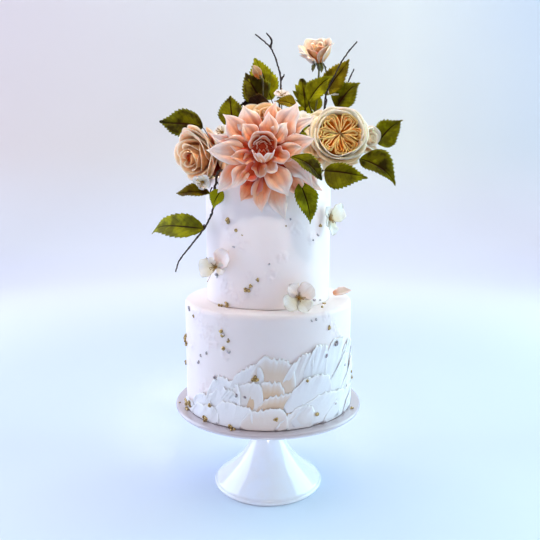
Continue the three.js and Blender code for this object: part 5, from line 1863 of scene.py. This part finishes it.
def giltFinish():
    # crumpled gold leaf over biscuit-brown grains
    bright, dark = nuggets["gold"]
    material, tree, shader = newMaterial("crumpledGilt")
    place = objectPlace(tree)
    worn = noise(place, 520.0, 4.0)
    share = remap(worn, 0.4, 0.56)
    feed(shader, Base_Color=mixColour(share, dark, bright), Metallic=times(share, 0.75),
         Roughness=scaled(share, -0.3, 0.62), Normal=bumpFrom(worn, 0.0006, 0.7))
    return material


def greyFinish():
    light, dark = nuggets["greyColour"]
    material, tree, shader = newMaterial("greySugar", Subsurface_Weight=0.3, Subsurface_Scale=0.001)
    grain = grainIn(tree, 480.0, 1600.0, 0.4)
    share = remap(grain["Cloud"], 0.4, 0.6)
    finishSurface(shader, mixColour(share, dark, light),
                  share, (0.2, 0.2), grain["Height"], (0.0005, 0.6))
    return material


def pearlFinish():
    material, tree, shader = newMaterial("sugarPearl", Coat_Weight=0.8, Coat_Roughness=0.05)
    grain = grainIn(tree, 300.0, 900.0, 0.2)
    colour = mixColour(grain["Cloud"], nuggets["pearlColour"], nuggets["greyColour"][0])
    finishSurface(shader, colour, grain["Cloud"], (0.1, 0.12), grain["Height"], (0.0003, 0.2))
    return material


def clumpPlaces(rng, kind):
    # grains of each clump lie on the side of their tier, or on the outermost ruffle there
    places, sizes = [], []
    for tier, clumps in nuggets[kind]:
        radius = icing["tiers"][tier]["radius"]
        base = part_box(tier)[0].z / mm
        for angle, height, count, spread, size in clumps:
            for i in range(count):
                away = spread * math.sqrt(i / max(count - 1, 1))
                turn = rng.uniform(0, fullTurn)
                grain = size * nuggets["scale"] * rng.uniform(0.5, 1.0) * (1 if i else 1.15)
                up = max(height + away * math.sin(turn), grain * 0.8)
                side = angle + math.degrees(away * math.cos(turn) / radius)
                places.append(onSide(side, up, radius + frillDepth(tier, side, up) + grain * 0.45, base))
                sizes.append(grain * mm)
    return places, sizes


def frillDepth(tier, angle, height):
    # how far the ruffles stand out over the icing here, taken as the outermost sheet that reaches so high
    depth = 0.0
    if tier == "lower_tier":
        for name, rows in frills["sheets"].items():
            row = int(name.split("_")[1]) - 1
            for middle, width, low, high, _, standsOut, *_ in rows:
                share = (height - low) / (high - low)
                if abs(angle - middle) < width * 0.4 and 0 < share < 1:
                    proud = frills["outward"] * standsOut * share**2.4
                    depth = max(depth, 0.5 + frills["layerStep"] * row + proud)
    return depth


def makeNuggets():
    tree = nuggetTree()
    finishes = {"gilt": giltFinish(), "grey": greyFinish(), "pearl": pearlFinish()}
    rng = np.random.default_rng(91)
    for number, (kind, material) in enumerate(finishes.items()):
        places, sizes = clumpPlaces(rng, kind)
        if kind == "gilt":
            for x, y, height, count, spread, size in nuggets["loose"]:
                for _ in range(count):
                    grain = size * nuggets["scale"] * rng.uniform(0.5, 1.0)
                    turn, away = rng.uniform(0, fullTurn), spread * math.sqrt(rng.random())
                    places.append((x + away * math.cos(turn), y + away * math.sin(turn),
                                   height + grain * 0.7))
                    sizes.append(grain * mm)
        points = makeObject(kind + "_points", np.array(places) * mm, [], material,
                            attributes={"reach": sizes})
        piece = bakeGeometry(kind + "_nuggets", points, tree, {
            "Detail": nuggets["divisions"], "Roughness": nuggets["lumps"][kind], "Seed": number,
            "Finish": material})
        finishPiece(piece, "gilt" if kind == "gilt" else "icing")


print("nuggets and pearls")
makeNuggets()
